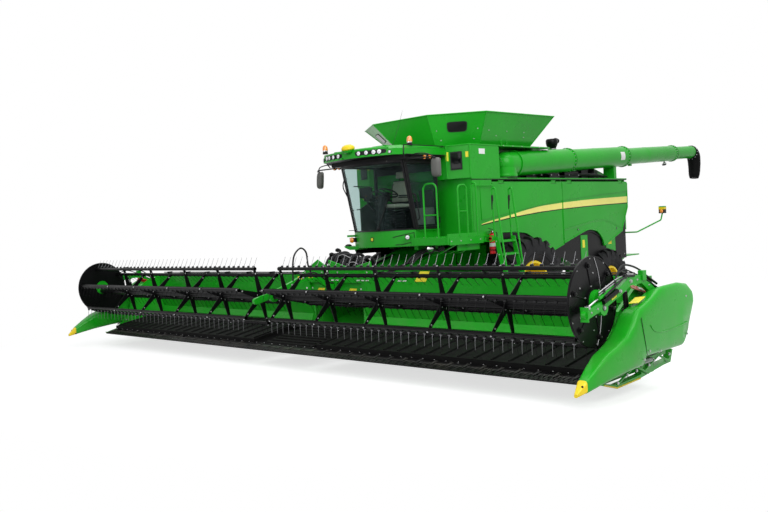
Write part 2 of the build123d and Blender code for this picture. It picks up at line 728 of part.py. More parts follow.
def operator_seat():
    """Seat with pedestal, cushion, backrest and armrests."""
    seat = block(seat_x - 180, seat_x + 180, -190, 190, cab_floor_z, seat_z)
    seat += block(seat_x - 240, seat_x + 260, -260, 260, seat_z, seat_z + 120)
    back = [(seat_x - 240, seat_z + 60), (seat_x - 110, seat_z + 120), (seat_x - 190, seat_z + 820),
            (seat_x - 290, seat_z + 820)]
    seat += side_plate(back, -240, 240)
    for y in (-310, 310):
        seat += block(seat_x - 200, seat_x + 190, y - 45, y + 45, seat_z + 240, seat_z + 300)
        seat += block(seat_x - 200, seat_x - 140, min(y, y * 0.7), max(y, y * 0.7), seat_z + 80, seat_z + 250)
    return seat


def cab_console():
    """Steering column with its wheel, and the armrest console on the right."""
    foot = (2480, 0, cab_floor_z + 15)
    head = (2400, 0, cab_floor_z + 720)
    column = block(2425, 2535, -70, 70, cab_floor_z, cab_floor_z + 25) + rod(foot, head, 45)
    wheel_plane = Plane(origin=head, z_dir=(-0.45, 0, 0.9))
    column += wheel_plane * Torus(190, 15)
    column += wheel_plane * Box(380, 24, 14)
    column += wheel_plane * Box(24, 380, 14)
    console = block(1860, 2330, -560, -400, seat_z + 200, seat_z + 300)
    console += block(1930, 2050, -540, -420, cab_floor_z, seat_z + 200)
    screen = [(2290, seat_z + 260), (2330, seat_z + 260), (2350, seat_z + 480), (2320, seat_z + 480)]
    console += side_plate(screen, -600, -330)
    return [column, console]


# ---- access -------------------------------------------------------------------------------------
def access_platform():
    """Landing beside the cab, with its skirt and brackets to the body."""
    x0, x1, y0, y1, z = platform_rear_x, platform_front_x, cab_y + 60, platform_y, platform_z
    deck = block(x0, x1, core_y, y1, z, z + deck_t)
    deck += block(panel_front_x + 20, x1, y0, core_y, z, z + deck_t)
    deck += block(x0, x1, y1 - skirt_t, y1, z - skirt_h, z)
    deck += block(x1 - skirt_t, x1, y0, y1, z - skirt_h, z)
    deck += block(1500, 2200, 1400, 1750, z - 250, z)
    for x in (x0 + 30, panel_front_x - 110):
        deck += block(x, x + 60, core_y, y1, z - 60, z)
    return deck


def ladder_lugs():
    """Hinge ears and pins that carry the boarding ladder."""
    lugs = None
    for z in LADDER_HINGES:
        one = block(ladder_x - 20, ladder_x + 20, platform_y, ladder_y, z - 60, z - 42)
        one += block(ladder_x - 20, ladder_x + 20, platform_y, ladder_y, z + 42, z + 60)
        one += block(ladder_x - 20, ladder_x + 20, platform_y, platform_y + 30, z - 60, z + 60)
        one += rod((ladder_x, ladder_y, z - 60), (ladder_x, ladder_y, z + 60), 12)
        lugs = one if lugs is None else lugs + one
    return lugs


def handrails():
    """Front hoop, narrow side hoop and rear post of the platform, and the grab rail on the body."""
    z0 = platform_z + 30
    top = platform_z + 1000
    r = rail_tube_r
    x = platform_front_x - 30
    hoop = bent_tube([(x, 1270, z0), (x, 1270, top + 60), (x, 1600, top + 60), (x, 1600, z0)], r, 120)
    hoop += rod((x, 1270, z0 + 430), (x, 1600, z0 + 430), r * 0.8)
    y = platform_y - r
    side_hoop = bent_tube([(2200, y, z0), (2200, y, top), (1940, y, top + 20), (1940, y, z0)], r, 90)
    side_hoop += rod((2200, y, z0 + 480), (1940, y, z0 + 480), r * 0.8)
    x = 1640
    post = bent_tube([(x, y, z0), (x, y, top + 50), (x, y - 120, top + 50), (x, y - 120, z0)], r, 50)
    y0, y1, z = body_y + seat_gap, body_y + 60, 3120
    grab = bent_tube([(1380, y0, z), (1380, y1, z), (860, y1, z), (860, y0, z)], r * 0.8, 25)
    return [hoop, side_hoop, post, grab]


def boarding_ladder():
    """Sloping ladder on a vertical hinge, with its two hand hoops."""
    x1, x0 = ladder_x, ladder_x - ladder_w
    top_z, foot = platform_z - 20, ladder_foot_z
    top_y, foot_y = ladder_y + 70, ladder_y + 400
    ladder = None
    side = [(top_y - 30, top_z), (top_y + 60, top_z), (foot_y + 60, foot), (foot_y - 30, foot)]
    for x in (x0, x1):
        stringer = front_plate(side, x - 15, x + 15)
        ladder = stringer if ladder is None else ladder + stringer
    steps = 6
    for i in range(steps):
        share = (i + 0.35) / steps
        y, z = top_y + (foot_y - top_y) * share, top_z + (foot - top_z) * share
        ladder += block(x0, x1, y - 50, y + 60, z - 20, z + 15)
    hoop_top = platform_z + 930
    for x in (x0, x1):
        hoop = bent_tube([(x, ladder_y + 50, platform_z - 60), (x, ladder_y + 25, hoop_top - 20),
                          (x, ladder_y + 100, hoop_top + 10), (x, foot_y - 70, 1180)], rail_tube_r, 30)
        ladder += hoop
        ladder += block(x - 12, x + 12, ladder_y + 35, top_y, platform_z - 70, platform_z - 20)
    for z in LADDER_HINGES:
        ladder += rod((x1, ladder_y, z - 40), (x1, ladder_y, z + 40), 22)
        ladder += block(x1 - 12, x1 + 12, ladder_y, top_y, z - 40, z + 40)
        ladder -= rod((x1, ladder_y, z - 41), (x1, ladder_y, z + 41), 12 + hub_gap)
    return ladder


def fire_extinguisher():
    """Extinguisher bottle clamped to the outer edge of the platform."""
    x, y, z = 1290, platform_y + 66, 1760
    bottle = rod((x, y, z), (x, y, z + 380), 62)
    bottle += rod((x, y, z + 380), (x, y, z + 440), 24)
    return bottle + block(x - 20, x + 20, platform_y + seat_gap, y, platform_z - 60, platform_z - 30)


def mirrors():
    """Side mirrors on arms that reach out from the roof."""
    pieces = []
    for side in (1, -1):
        arm = bent_tube([(2700, side * (roof_y - 90), mirror_arm_z), (2700, side * 1500, mirror_arm_z),
                         (2565, side * 1640, mirror_arm_z), (2565, side * 1640, 3480)], 14, 40)
        head = block(2530, 2600, side * 1535, side * 1745, 3285, 3650)
        pieces.append(arm + head)
    return pieces


# ---- feeder house and header --------------------------------------------------------------------
def feeder_outline(inset):
    """Side view of the feeder house, with a round rear end about its pivot."""
    r = 370 - inset
    rear = [(feeder_x + r * cos(radians(a)), feeder_z + r * sin(radians(a))) for a in range(75, 260, 20)]
    front_x = feeder_front_x + (1 if inset else 0)
    return rear + [(front_x, feeder_low + inset), (front_x, feeder_high - inset)]


def feeder_house():
    """Hollow feeder house, open at the front, with its pivot bores and cylinder lugs."""
    house = side_plate(feeder_outline(0), -feeder_y, feeder_y)
    tunnel = side_plate(feeder_outline(feeder_wall + 15), -feeder_y + feeder_wall, feeder_y - feeder_wall)
    house -= tunnel & block(feeder_x + 420, feeder_front_x + 10, -feeder_y, feeder_y, 0, 3000)
    for side in (1, -1):
        y0, y1 = side * (feeder_y - 41), side * (feeder_y + 1)
        house -= along_y(feeder_x, feeder_z, feeder_pin_r + hub_gap, y0, y1)
        x, z = lift_eye
        lug = [(x - 90, z + 190), (x - 45, z - 45), (x + 45, z - 45), (x + 90, z + 190)]
        for y0, y1 in ((side * lift_y - 60, side * lift_y - 32), (side * lift_y + 32, side * lift_y + 60)):
            house += side_plate(lug, y0, y1)
        house += along_y(x, z, lift_pin_r, side * lift_y - 58, side * lift_y + 58)
    frame = block(feeder_front_x, feeder_frame_x, -feeder_y - 80, feeder_y + 80, 400, 1400)
    frame -= block(feeder_front_x - 1, feeder_frame_x + 1, -feeder_y + feeder_wall, feeder_y - feeder_wall,
                   feeder_low + 30, feeder_high - 30)
    return house + frame


def cylinder_barrel(pin, eye, y, r, length, pin_r):
    """A hydraulic barrel with an eye at its pin end."""
    (x0, z0), (x1, z1) = pin, eye
    span = hypot(x1 - x0, z1 - z0)
    ux, uz = (x1 - x0) / span, (z1 - z0) / span
    neck = pin_r * 2 + 60
    body = rod((x0 + ux * neck, y, z0 + uz * neck), (x0 + ux * length, y, z0 + uz * length), r)
    body += along_y(x0, z0, pin_r + 20, y - 24, y + 24)
    body += bar((x0, y, z0), (x0 + ux * (neck + 5), y, z0 + uz * (neck + 5)), 44, 44)
    bore_end = (x0 + ux * (length + 1), y, z0 + uz * (length + 1))
    body -= rod((x0 + ux * (neck + 20), y, z0 + uz * (neck + 20)), bore_end, r * 0.55 + hub_gap)
    return body - along_y(x0, z0, pin_r + hub_gap, y - 40, y + 40)


def cylinder_rod(pin, eye, y, r, start, pin_r):
    """A piston rod with an eye that hangs on its pin with room to drift."""
    (x0, z0), (x1, z1) = pin, eye
    span = hypot(x1 - x0, z1 - z0)
    ux, uz = (x1 - x0) / span, (z1 - z0) / span
    piece = rod((x0 + ux * start, y, z0 + uz * start), (x1 - ux * 20, y, z1 - uz * 20), r * 0.55)
    piece += along_y(x1, z1, pin_r + eye_play + 18, y - 25, y + 25)
    return piece - along_y(x1, z1, pin_r + eye_play, y - 40, y + 40)


def lift_cylinder(side):
    """Barrel and rod of one header lift cylinder, from the axle to the feeder house."""
    pin, y = (lift_x, lift_z), side * lift_y
    barrel = cylinder_barrel(pin, lift_eye, y, lift_barrel_r, lift_barrel_len, lift_pin_r)
    return barrel, cylinder_rod(pin, lift_eye, y, lift_barrel_r, lift_rod_start, lift_pin_r)


def reel_cylinder(side):
    """Barrel and rod of one reel lift cylinder, from the end sheet to the reel arm."""
    y = side * cyl_y
    barrel = cylinder_barrel(reel_cyl, reel_eye, y, reel_barrel_r, reel_barrel_len, cyl_pin_r)
    return barrel, cylinder_rod(reel_cyl, reel_eye, y, reel_barrel_r, reel_rod_start, cyl_pin_r)


def header_frame():
    """Beams, back sheet, the posts that hang on the feeder house and the middle reel arm's bracket."""
    end = side_sheet_y
    frame = block(back_x, back_x + beam, -end, end, 1380, 1380 + beam)
    frame += block(back_x, back_x + beam, -end, end, 380, 380 + beam)
    frame += block(back_x + 60, back_x + 72, -end, end, 500, 1400)
    frame -= block(back_x - 5, back_x + 80, -mouth_y, mouth_y, 500, 1260)
    for side in (1, -1):
        frame += block(feeder_frame_x + seat_gap, back_x + 10, side * 700, side * 780, 380, 1530)
        frame += block(reel_arm_x - 60, reel_arm_x + 45, side * 50, side * 70, reel_arm_z - 50, 1400)
    return frame + along_y(reel_arm_x, reel_arm_z, reel_pin_r, -60, 60)


def end_sheet():
    """Left end sheet of the header, with the divider's brackets and the reel arm and cylinder pins."""
    inner, outer = side_sheet_y, side_sheet_y + 50
    outline = [(back_x + beam, 300), (back_x, 480), (back_x, 1530), (back_x + 300, 1530), (4150, 1400),
               (4620, 1130), (4640, 800), (4800, 560), (5000, 350), (5230, 300), (5230, 245), (4200, 270)]
    sheet = side_plate(outline, inner + seat_gap, outer)
    sheet += block(3820, 3900, outer - 5, divider_in_y - seat_gap, 700, 1000)
    sheet += block(4400, 4480, outer - 5, divider_in_y - seat_gap, 620, 800)
    sheet += block(3640, 3720, inner + seat_gap, outer, 600, 900)
    sheet += along_y(reel_arm_x, reel_arm_z, reel_pin_r, outer - 5, end_arm_y + 45)
    return sheet + along_y(*reel_cyl, cyl_pin_r, outer - 5, cyl_y + 40)


def deck_arms():
    """The arms that carry the belts and the cutterbar forward of the lower beam."""
    arms = []
    for side in (1, -1):
        for y in ARM_PLACES:
            top = BELT_LOW if y > mouth_y else FEED_LOW
            arm = [(back_x + beam, 400), (back_x + beam, top[0][1] - seat_gap),
                   (top[0][0], top[0][1] - seat_gap), (top[1][0], top[1][1] - seat_gap),
                   (knife_back_x, top[1][1] - 5), (knife_back_x, 262)]
            arms.append(side_plate(arm, side * y - 30, side * y + 30))
    return arms


def draper_belts():
    """Left, right and centre belts, each a closed band round its deck."""
    belts = []
    for side in (1, -1):
        belts.append(side_plate(belt_outline(BELT_LOW), side * 900, side * (header_y - 30)))
    belts.append(side_plate(belt_outline(FEED_LOW), -mouth_y, mouth_y))
    return belts


def belt_outline(low):
    """Side view of one belt above its underside."""
    return [*low, (low[1][0], low[1][1] + belt_t), (low[0][0], low[0][1] + belt_t)]


def cutterbar():
    """Knife bar along the whole cut, with its guards' mounting bar and skid plates."""
    outline = [(knife_back_x, 350), (knife_back_x, 285), (5180, 275), (cutter_x, cutter_z - 20),
               (cutter_x, cutter_z), (5200, 335)]
    return side_plate(outline, -header_y + 5, header_y - 5)


def divider_face(x, y_in, y_out, low, high):
    """One cross section, with y counted from the end of the cut."""
    corner = min(divider_corner, min(y_out - y_in, high - low) * 0.3)
    middle = Pos(header_y + (y_in + y_out) / 2, (low + high) / 2)
    return Plane.YZ.offset(x) * middle * RectangleRounded(y_out - y_in, high - low, corner)


def divider():
    """Left crop divider: a high rear skirt, then a shield that narrows to the nose."""
    shield = loft([divider_face(*row) for row in DIVIDER], ruled=True)
    slant = [(3100, 400), (3672, 400), (3240, 1150), (3240, 1500), (3100, 1500)]
    return shield - side_plate(slant, header_y + 250, header_y + 650)


def divider_nose():
    """Yellow nose of the left crop divider."""
    x, y_in, y_out, low, high = DIVIDER[-1]
    rear = divider_face(x + seat_gap, y_in + 3, y_out - 3, low + 3, high - 3)
    return loft([rear, divider_face(nose_x, 335, 380, 285, 330)], ruled=True)


def skid_shoe():
    """Skid under the end of the header, bolted to the end sheet."""
    y0, y1 = side_sheet_y + 50 + seat_gap, side_sheet_y + 150
    outline = [(3310, 460), (3390, 290), (3600, 280), (4310, 205), (4920, 183), (5240, 270), (5240, 290),
               (4900, 225), (4310, 250), (3640, 330), (3430, 345), (3350, 470)]
    return side_plate(outline, y0, y1) + block(3900, 4250, y0, y1, 240, 420)


def end_disc(side):
    """End disc, which turns on the eccentric boss of its arm and is steered by the bats."""
    disc = along_y(reel_x, disc_z, disc_r, side * (disc_y - disc_t), side * disc_y)
    disc += along_y(reel_x, disc_z, boss_r + 25, side * disc_y, side * (disc_y + 25))
    return disc - along_y(reel_x, disc_z, boss_r + hub_gap, side * (disc_y - 40), side * (disc_y + 40))


def reel_arm_bar(y):
    """One reel arm: pivot, arched beam and bearing."""
    points = ((reel_arm_x, reel_arm_z), (3960, 1340), (4280, 1540), (4600, 1535), (4870, 1430), (5300, 1300),
              (5690, 1215))
    arm = along_y(reel_arm_x, reel_arm_z, 70, y - arm_w / 2, y + arm_w / 2)
    for (x0, z0), (x1, z1) in zip(points, points[1:]):
        arm += bar((x0, y, z0), (x1, y, z1), arm_w, 110)
        arm += along_y(x1, z1, 55, y - arm_w / 2, y + arm_w / 2)
    arm += along_y(reel_x, reel_z, 95, y - arm_w / 2, y + arm_w / 2)
    arm -= along_y(reel_arm_x, reel_arm_z, reel_pin_r + hub_gap, y - 60, y + 60)
    return arm - along_y(reel_x, reel_z, 40 + hub_gap, y - 60, y + 60)


def reel_arms():
    """Both end arms and the centre arm; the end arms carry the cylinder pins."""
    arms = [reel_arm_bar(0)]
    for side in (1, -1):
        arm = reel_arm_bar(side * end_arm_y)
        arm += along_y(*reel_eye, cyl_pin_r, side * end_arm_y, side * (cyl_y - 35))
        arm += along_y(reel_x, disc_z, boss_r, side * (disc_y - disc_t - 6), side * (end_arm_y - arm_w / 2))
        arm -= along_y(reel_x, reel_z, 40 + hub_gap, side * (disc_y - 60), side * (end_arm_y + 60))
        arms.append(arm)
    return arms


def reel_half(side):
    """One reel half: tube, spiders and six bats."""
    y0, y1 = side * reel_inner_y, side * (reel_y - disc_t - 14)
    reel = along_y(reel_x, reel_z, reel_tube_r, y0, y1)
    reel += along_y(reel_x, reel_z, 40, side * (arm_w / 2 - 25), y0)
    reel += along_y(reel_x, reel_z, 40, y1, side * (end_arm_y + 25))
    angles = [bat_start + 360 / bats * i for i in range(bats)]
    blade = [(60, -58), (reel_r, -22), (reel_r, 22), (60, 58)]
    for y in spider_y:
        reel += along_y(reel_x, reel_z, 110, side * (y - 12), side * (y + 12))
        arm = side_plate(blade, side * (y - 6), side * (y + 6))
        for a in angles:
            reel += Pos(reel_x, 0, reel_z) * Rot(0, -a, 0) * arm
    for a in angles:
        bat = along_y(reel_r, 0, bat_tube_r, side * (spider_y[0] - 30), y1)
        reel += Pos(reel_x, 0, reel_z) * Rot(0, -a, 0) * bat
    return reel


# ---- write the pieces ---------------------------------------------------------------------------
def main():
    os.makedirs("parts", exist_ok=True)
    save("chassis_frame", chassis_frame())
    save("front_axle", front_axle())
    save("rear_axle", rear_axle())
    save("steering_rod", steering_rod())
    for word, side in LEFT_RIGHT:
        save(f"steering_knuckle_{word}", knuckle(side))
        rim, ring = front_wheel(side)
        save(f"front_rim_{word}", rim)
        save(f"front_tyre_{word}", ring)
        rim, ring = rear_wheel(side)
        save(f"rear_rim_{word}", rim)
        save(f"rear_tyre_{word}", ring)
        for which, x0, x1 in SIDE_DOORS:
            save(f"side_door_{which}_{word}", side_door(which, x0, x1, side))
        save(f"reel_{word}", reel_half(side))
        save(f"reel_disc_{word}", end_disc(side))
    save("threshing_housing", threshing_housing())
    save("grain_tank", grain_tank())
    save("tank_extensions", tank_extensions())
    save("engine_hood", engine_hood())
    save("engine_block", engine_block())
    save("rotary_screen", rotary_screen())
    save("exhaust_stack", exhaust_stack())
    save("straw_chopper", straw_chopper())
    save("auger_foot", auger_foot())
    save("unloading_auger", unloading_auger())
    save("auger_spout", auger_spout())
    save("cab_shell", cab_shell() + cab_hinge_pins())
    save("cab_glass", cab_glass())
    save("cab_roof", cab_roof())
    save("cab_door", cab_door())
    save("cab_door_glass", cab_door_glass())
    save("operator_seat", operator_seat())
    save("cab_console", cab_console())
    save("access_platform", access_platform() + ladder_lugs())
    save("handrails", handrails())
    save("boarding_ladder", boarding_ladder())
    save("fire_extinguisher", fire_extinguisher())
    save("mirrors", mirrors())
    save("feeder_house", feeder_house())
    save("header_frame", header_frame())
    save("end_sheets", both(end_sheet))
    save("deck_arms", deck_arms())
    save("draper_belts", draper_belts())
    save("cutterbar", cutterbar())
    save("crop_dividers", both(divider))
    save("divider_noses", both(divider_nose))
    save("skid_shoes", both(skid_shoe))
    save("reel_arms", reel_arms())
    for word, make in (("lift", lift_cylinder), ("reel", reel_cylinder)):
        (left_barrel, left_rod), (right_barrel, right_rod) = make(1), make(-1)
        save(f"{word}_barrels", [left_barrel, right_barrel])
        save(f"{word}_rods", [left_rod, right_rod])


main()
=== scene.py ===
"""Looks of the combine harvester: materials for every piece and the detail that rides on the frame.

Positions are metres from the middle of the front axle on the ground (+X ahead, +Y left, +Z up),
as in the frame; AXLE is added where an object is made, to reach the frame's own origin.
"""

import math

import bmesh
import bpy
from mathutils import Matrix, Vector


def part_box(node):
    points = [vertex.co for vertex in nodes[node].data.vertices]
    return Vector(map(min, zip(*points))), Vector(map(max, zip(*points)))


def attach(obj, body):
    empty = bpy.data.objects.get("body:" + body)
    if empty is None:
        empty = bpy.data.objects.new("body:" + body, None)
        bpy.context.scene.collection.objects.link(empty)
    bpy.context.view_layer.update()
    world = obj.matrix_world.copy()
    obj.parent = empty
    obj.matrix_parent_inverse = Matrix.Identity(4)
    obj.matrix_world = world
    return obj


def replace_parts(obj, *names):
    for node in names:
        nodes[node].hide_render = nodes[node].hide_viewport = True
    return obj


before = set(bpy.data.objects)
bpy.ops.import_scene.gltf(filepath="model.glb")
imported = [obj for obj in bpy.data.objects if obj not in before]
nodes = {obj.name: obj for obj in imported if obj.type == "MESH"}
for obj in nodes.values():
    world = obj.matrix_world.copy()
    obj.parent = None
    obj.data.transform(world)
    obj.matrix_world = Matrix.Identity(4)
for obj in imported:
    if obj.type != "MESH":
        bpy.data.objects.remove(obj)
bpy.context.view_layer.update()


def middle(node):
    low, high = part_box(node)
    return (low + high) / 2


AXLE = Vector((middle("front_tyre_left").x, 0, 0))
SIDES = (("left", 1), ("right", -1))


def add_object(name, data):
    obj = bpy.data.objects.new(name, data)
    bpy.context.scene.collection.objects.link(obj)
    return obj


# ---- camera, floor and light --------------------------------------------------------------------

CAMERA_AT = Vector((14.5255, 11.8447, 2.4274))
CAMERA_HEADING = -135.358
CAMERA_PITCH = -2.302
CAMERA_ROLL = -3.082
CAMERA_LENS = 39.03
CAMERA_SHIFT = (0.0055, 0.0041)


def make_camera():
    """Camera at eye height off the left end of the header."""
    heading, pitch, roll = (math.radians(a) for a in (CAMERA_HEADING, CAMERA_PITCH, CAMERA_ROLL))
    ahead = Vector((math.cos(pitch) * math.cos(heading), math.cos(pitch) * math.sin(heading),
                    math.sin(pitch)))
    level = ahead.cross(Vector((0, 0, 1))).normalized()
    upright = level.cross(ahead)
    right = math.cos(roll) * level + math.sin(roll) * upright
    up = -math.sin(roll) * level + math.cos(roll) * upright
    camera = add_object("camera", bpy.data.cameras.new("camera"))
    turn = Matrix((right, up, -ahead)).transposed().to_4x4()
    camera.matrix_world = Matrix.Translation(CAMERA_AT + AXLE) @ turn
    camera.data.lens = CAMERA_LENS
    camera.data.sensor_width = 36
    camera.data.shift_x, camera.data.shift_y = CAMERA_SHIFT
    camera.data.clip_end = 300
    bpy.context.scene.camera = camera


def node_tree(owner):
    owner.use_nodes = True
    owner.node_tree.nodes.clear()
    return owner.node_tree.nodes, owner.node_tree.links


def blend(made, links, factor, first, second):
    """The shader that goes from first to second as factor goes from 0 to 1."""
    mix = made.new("ShaderNodeMixShader")
    for source, socket in zip((factor, first, second), mix.inputs):
        links.new(source, socket)
    return mix.outputs[0]


def light(made, kind, strength=1.0, colour=(1, 1, 1)):
    """A background or emission shader."""
    node = made.new(kind)
    node.inputs["Color"].default_value = (*colour, 1)
    node.inputs["Strength"].default_value = strength
    return node.outputs[0]


def seen_directly(made, links):
    """1 where a camera, glossy or transmission ray arrives, else 0."""
    path = made.new("ShaderNodeLightPath")
    total = path.outputs["Is Camera Ray"]
    for name in ("Is Glossy Ray", "Is Transmission Ray"):
        add = made.new("ShaderNodeMath")
        add.operation = "MAXIMUM"
        links.new(total, add.inputs[0])
        links.new(path.outputs[name], add.inputs[1])
        total = add.outputs[0]
    return total


def make_world():
    world = bpy.data.worlds.new("studio")
    bpy.context.scene.world = world
    made, links = node_tree(world)
    out = made.new("ShaderNodeOutputWorld")
    fill = light(made, "ShaderNodeBackground", 0.4, (0.92, 0.95, 1.0))
    white = light(made, "ShaderNodeBackground")
    links.new(blend(made, links, seen_directly(made, links), fill, white), out.inputs[0])


def make_floor():
    """A grey floor that turns white away from the machine, for the rays that are seen directly."""
    size = 120
    mesh = bpy.data.meshes.new("floor")
    mesh.from_pydata([(-size, -size, 0), (size, -size, 0), (size, size, 0), (-size, size, 0)], [],
                     [(0, 1, 2, 3)])
    floor = add_object("floor", mesh)
    floor.location.z = -0.002
    material = bpy.data.materials.new("floor")
    made, links = node_tree(material)
    out = made.new("ShaderNodeOutputMaterial")
    matt = made.new("ShaderNodeBsdfDiffuse")
    matt.inputs["Color"].default_value = (0.5, 0.5, 0.5, 1)
    add = made.new("ShaderNodeAddShader")
    links.new(matt.outputs[0], add.inputs[0])
    links.new(light(made, "ShaderNodeEmission", 0.68), add.inputs[1])
    place = made.new("ShaderNodeTexCoord")
    reach = made.new("ShaderNodeVectorMath")
    reach.operation = "LENGTH"
    links.new(place.outputs["Object"], reach.inputs[0])
    far = made.new("ShaderNodeMapRange")
    far.interpolation_type = "SMOOTHSTEP"
    far.inputs["From Min"].default_value, far.inputs["From Max"].default_value = 8.5, 12
    links.new(reach.outputs["Value"], far.inputs["Value"])
    seen = blend(made, links, far.outputs[0], add.outputs[0], light(made, "ShaderNodeEmission"))
    links.new(blend(made, links, seen_directly(made, links), matt.outputs[0], seen), out.inputs[0])
    mesh.materials.append(material)


LAMPS = (
    # name, from (metres), watts, width
    ("key", (9, 16, 15), 2750, 14),
    ("front_fill", (20, 2, 8), 800, 12),
    ("top", (-1, 1, 17), 1500, 16),
)


def make_lamps():
    for name, place, watts, width in LAMPS:
        lamp = bpy.data.lights.new(name, "AREA")
        lamp.energy = watts
        lamp.size = width
        obj = add_object(name, lamp)
        obj.location = Vector(place) + AXLE
        aim = Vector((1, 0, 1)) + AXLE - obj.location
        obj.rotation_mode = "QUATERNION"
        obj.rotation_quaternion = aim.to_track_quat("-Z", "Y")


# ---- materials ----------------------------------------------------------------------------------


class Finish:
    """One procedural material, built up step by step on a Principled shader."""

    def __init__(self, name, colour, rough, metal=0.0, specular=0.5):
        self.material = bpy.data.materials.new(name)
        self.made, self.links = node_tree(self.material)
        self.out = self.made.new("ShaderNodeOutputMaterial")
        self.bsdf = self.made.new("ShaderNodeBsdfPrincipled")
        self.links.new(self.bsdf.outputs[0], self.out.inputs[0])
        self.bsdf.inputs["Base Color"].default_value = (*colour, 1)
        self.bsdf.inputs["Roughness"].default_value = rough
        self.bsdf.inputs["Metallic"].default_value = metal
        self.bsdf.inputs["Specular IOR Level"].default_value = specular
        self.material.diffuse_color = (*colour, 1)
        place = self.made.new("ShaderNodeTexCoord")
        self.place = place.outputs["Object"]
        self.colour = None
        self.height = None

    def noise(self, scale, detail=3.0, stretch=None):
        place = self.place
        if stretch:
            mapping = self.made.new("ShaderNodeMapping")
            mapping.inputs["Scale"].default_value = stretch
            self.links.new(place, mapping.inputs["Vector"])
            place = mapping.outputs[0]
        noise = self.made.new("ShaderNodeTexNoise")
        noise.inputs["Scale"].default_value = scale
        noise.inputs["Detail"].default_value = detail
        self.links.new(place, noise.inputs["Vector"])
        return noise.outputs["Fac"]

    def between(self, value, low, high, to_low=0.0, to_high=1.0):
        """value from low to high becomes to_low to to_high."""
        ramp = self.made.new("ShaderNodeMapRange")
        for key, number in (("From Min", low), ("From Max", high), ("To Min", to_low), ("To Max", to_high)):
            ramp.inputs[key].default_value = number
        self.links.new(value, ramp.inputs["Value"])
        return ramp.outputs["Result"]

    def times(self, a, b):
        node = self.made.new("ShaderNodeMath")
        node.operation = "MULTIPLY"
        for value, socket in ((a, node.inputs[0]), (b, node.inputs[1])):
            if isinstance(value, (int, float)):
                socket.default_value = value
            else:
                self.links.new(value, socket)
        return node.outputs[0]

    def height_of(self, axis="Z"):
        split = self.made.new("ShaderNodeSeparateXYZ")
        self.links.new(self.place, split.inputs[0])
        return split.outputs[axis]

    def tint(self, factor, colour):
        """Mixes colour over what the material has so far, where factor is 1."""
        mix = self.made.new("ShaderNodeMix")
        mix.data_type = "RGBA"
        self.links.new(factor, mix.inputs["Factor"])
        if self.colour is None:
            mix.inputs["A"].default_value = self.bsdf.inputs["Base Color"].default_value[:]
        else:
            self.links.new(self.colour, mix.inputs["A"])
        mix.inputs["B"].default_value = (*colour, 1)
        self.colour = mix.outputs["Result"]
        self.links.new(self.colour, self.bsdf.inputs["Base Color"])
        return self

    def roughness(self, factor, low, high):
        self.links.new(self.between(factor, 0.3, 0.7, low, high), self.bsdf.inputs["Roughness"])
        return self

    def bump(self, height, strength, distance):
        node = self.made.new("ShaderNodeBump")
        node.inputs["Strength"].default_value = strength
        node.inputs["Distance"].default_value = distance
        self.links.new(height, node.inputs["Height"])
        if self.height is not None:
            self.links.new(self.height, node.inputs["Normal"])
        self.height = node.outputs[0]
        self.links.new(self.height, self.bsdf.inputs["Normal"])
        return self

    def coat(self, weight, rough):
        self.bsdf.inputs["Coat Weight"].default_value = weight
        self.bsdf.inputs["Coat Roughness"].default_value = rough
        return self


def shade(colour, by):
    return tuple(min(1.0, c * by) for c in colour)


DUST = (0.23, 0.2, 0.15)


def paint(name, colour, rough=0.3, coat=0.1, dust=0.2, specular=0.2):
    """Sprayed and lacquered sheet metal: slight waviness, orange peel, tonal drift, dust low down."""
    f = Finish(name, colour, rough, specular=specular)
    f.tint(f.between(f.noise(0.9, 4), 0.35, 0.65), shade(colour, 0.86))
    f.tint(f.between(f.noise(14, 5), 0.55, 0.8, 0, 0.25), shade(colour, 1.18))
    low = f.between(f.height_of(), 0.25, 1.3, dust, 0)
    f.tint(f.times(low, f.between(f.noise(3.5, 6), 0.35, 0.75)), DUST)
    f.roughness(f.noise(2.2, 4), rough * 0.8, rough * 1.3)
    f.bump(f.noise(1.6, 1), 0.25, 0.02)
    f.bump(f.noise(260, 1), 0.06, 0.002)
    return f.coat(coat, 0.12).material


def plastic(name, colour, rough=0.5, grain=420, specular=0.2):
    """Moulded plastic with a fine texture."""
    f = Finish(name, colour, rough, specular=specular)
    f.tint(f.between(f.noise(2.5, 5), 0.4, 0.7, 0, 0.6), shade(colour, 1.35))
    f.roughness(f.noise(6, 4), rough * 0.85, rough * 1.15)
    f.bump(f.noise(grain, 2), 0.15, 0.003)
    return f.material


def rubber(name, colour=(0.012, 0.012, 0.013), rough=0.72, dust=0.35, specular=0.18):
    f = Finish(name, colour, rough, specular=specular)
    f.tint(f.between(f.noise(5, 6), 0.4, 0.75, 0, 0.7), shade(colour, 2.0))
    low = f.between(f.height_of(), 0.0, 0.7, dust, 0)
    f.tint(f.times(low, f.between(f.noise(9, 6), 0.4, 0.7)), shade(DUST, 0.6))
    f.roughness(f.noise(12, 4), rough * 0.9, rough * 1.1)
    f.bump(f.noise(150, 3), 0.3, 0.003)
    return f.material


def steel(name, colour=(0.5, 0.5, 0.51), rough=0.34, stretch=(40, 4, 40)):
    """Machined or drawn steel with fine lines."""
    f = Finish(name, colour, rough, metal=1.0)
    lines = f.noise(9, 5, stretch)
    f.tint(f.between(lines, 0.35, 0.7), shade(colour, 0.75))
    f.roughness(lines, rough * 0.75, rough * 1.35)
    f.bump(lines, 0.08, 0.001)
    return f.material


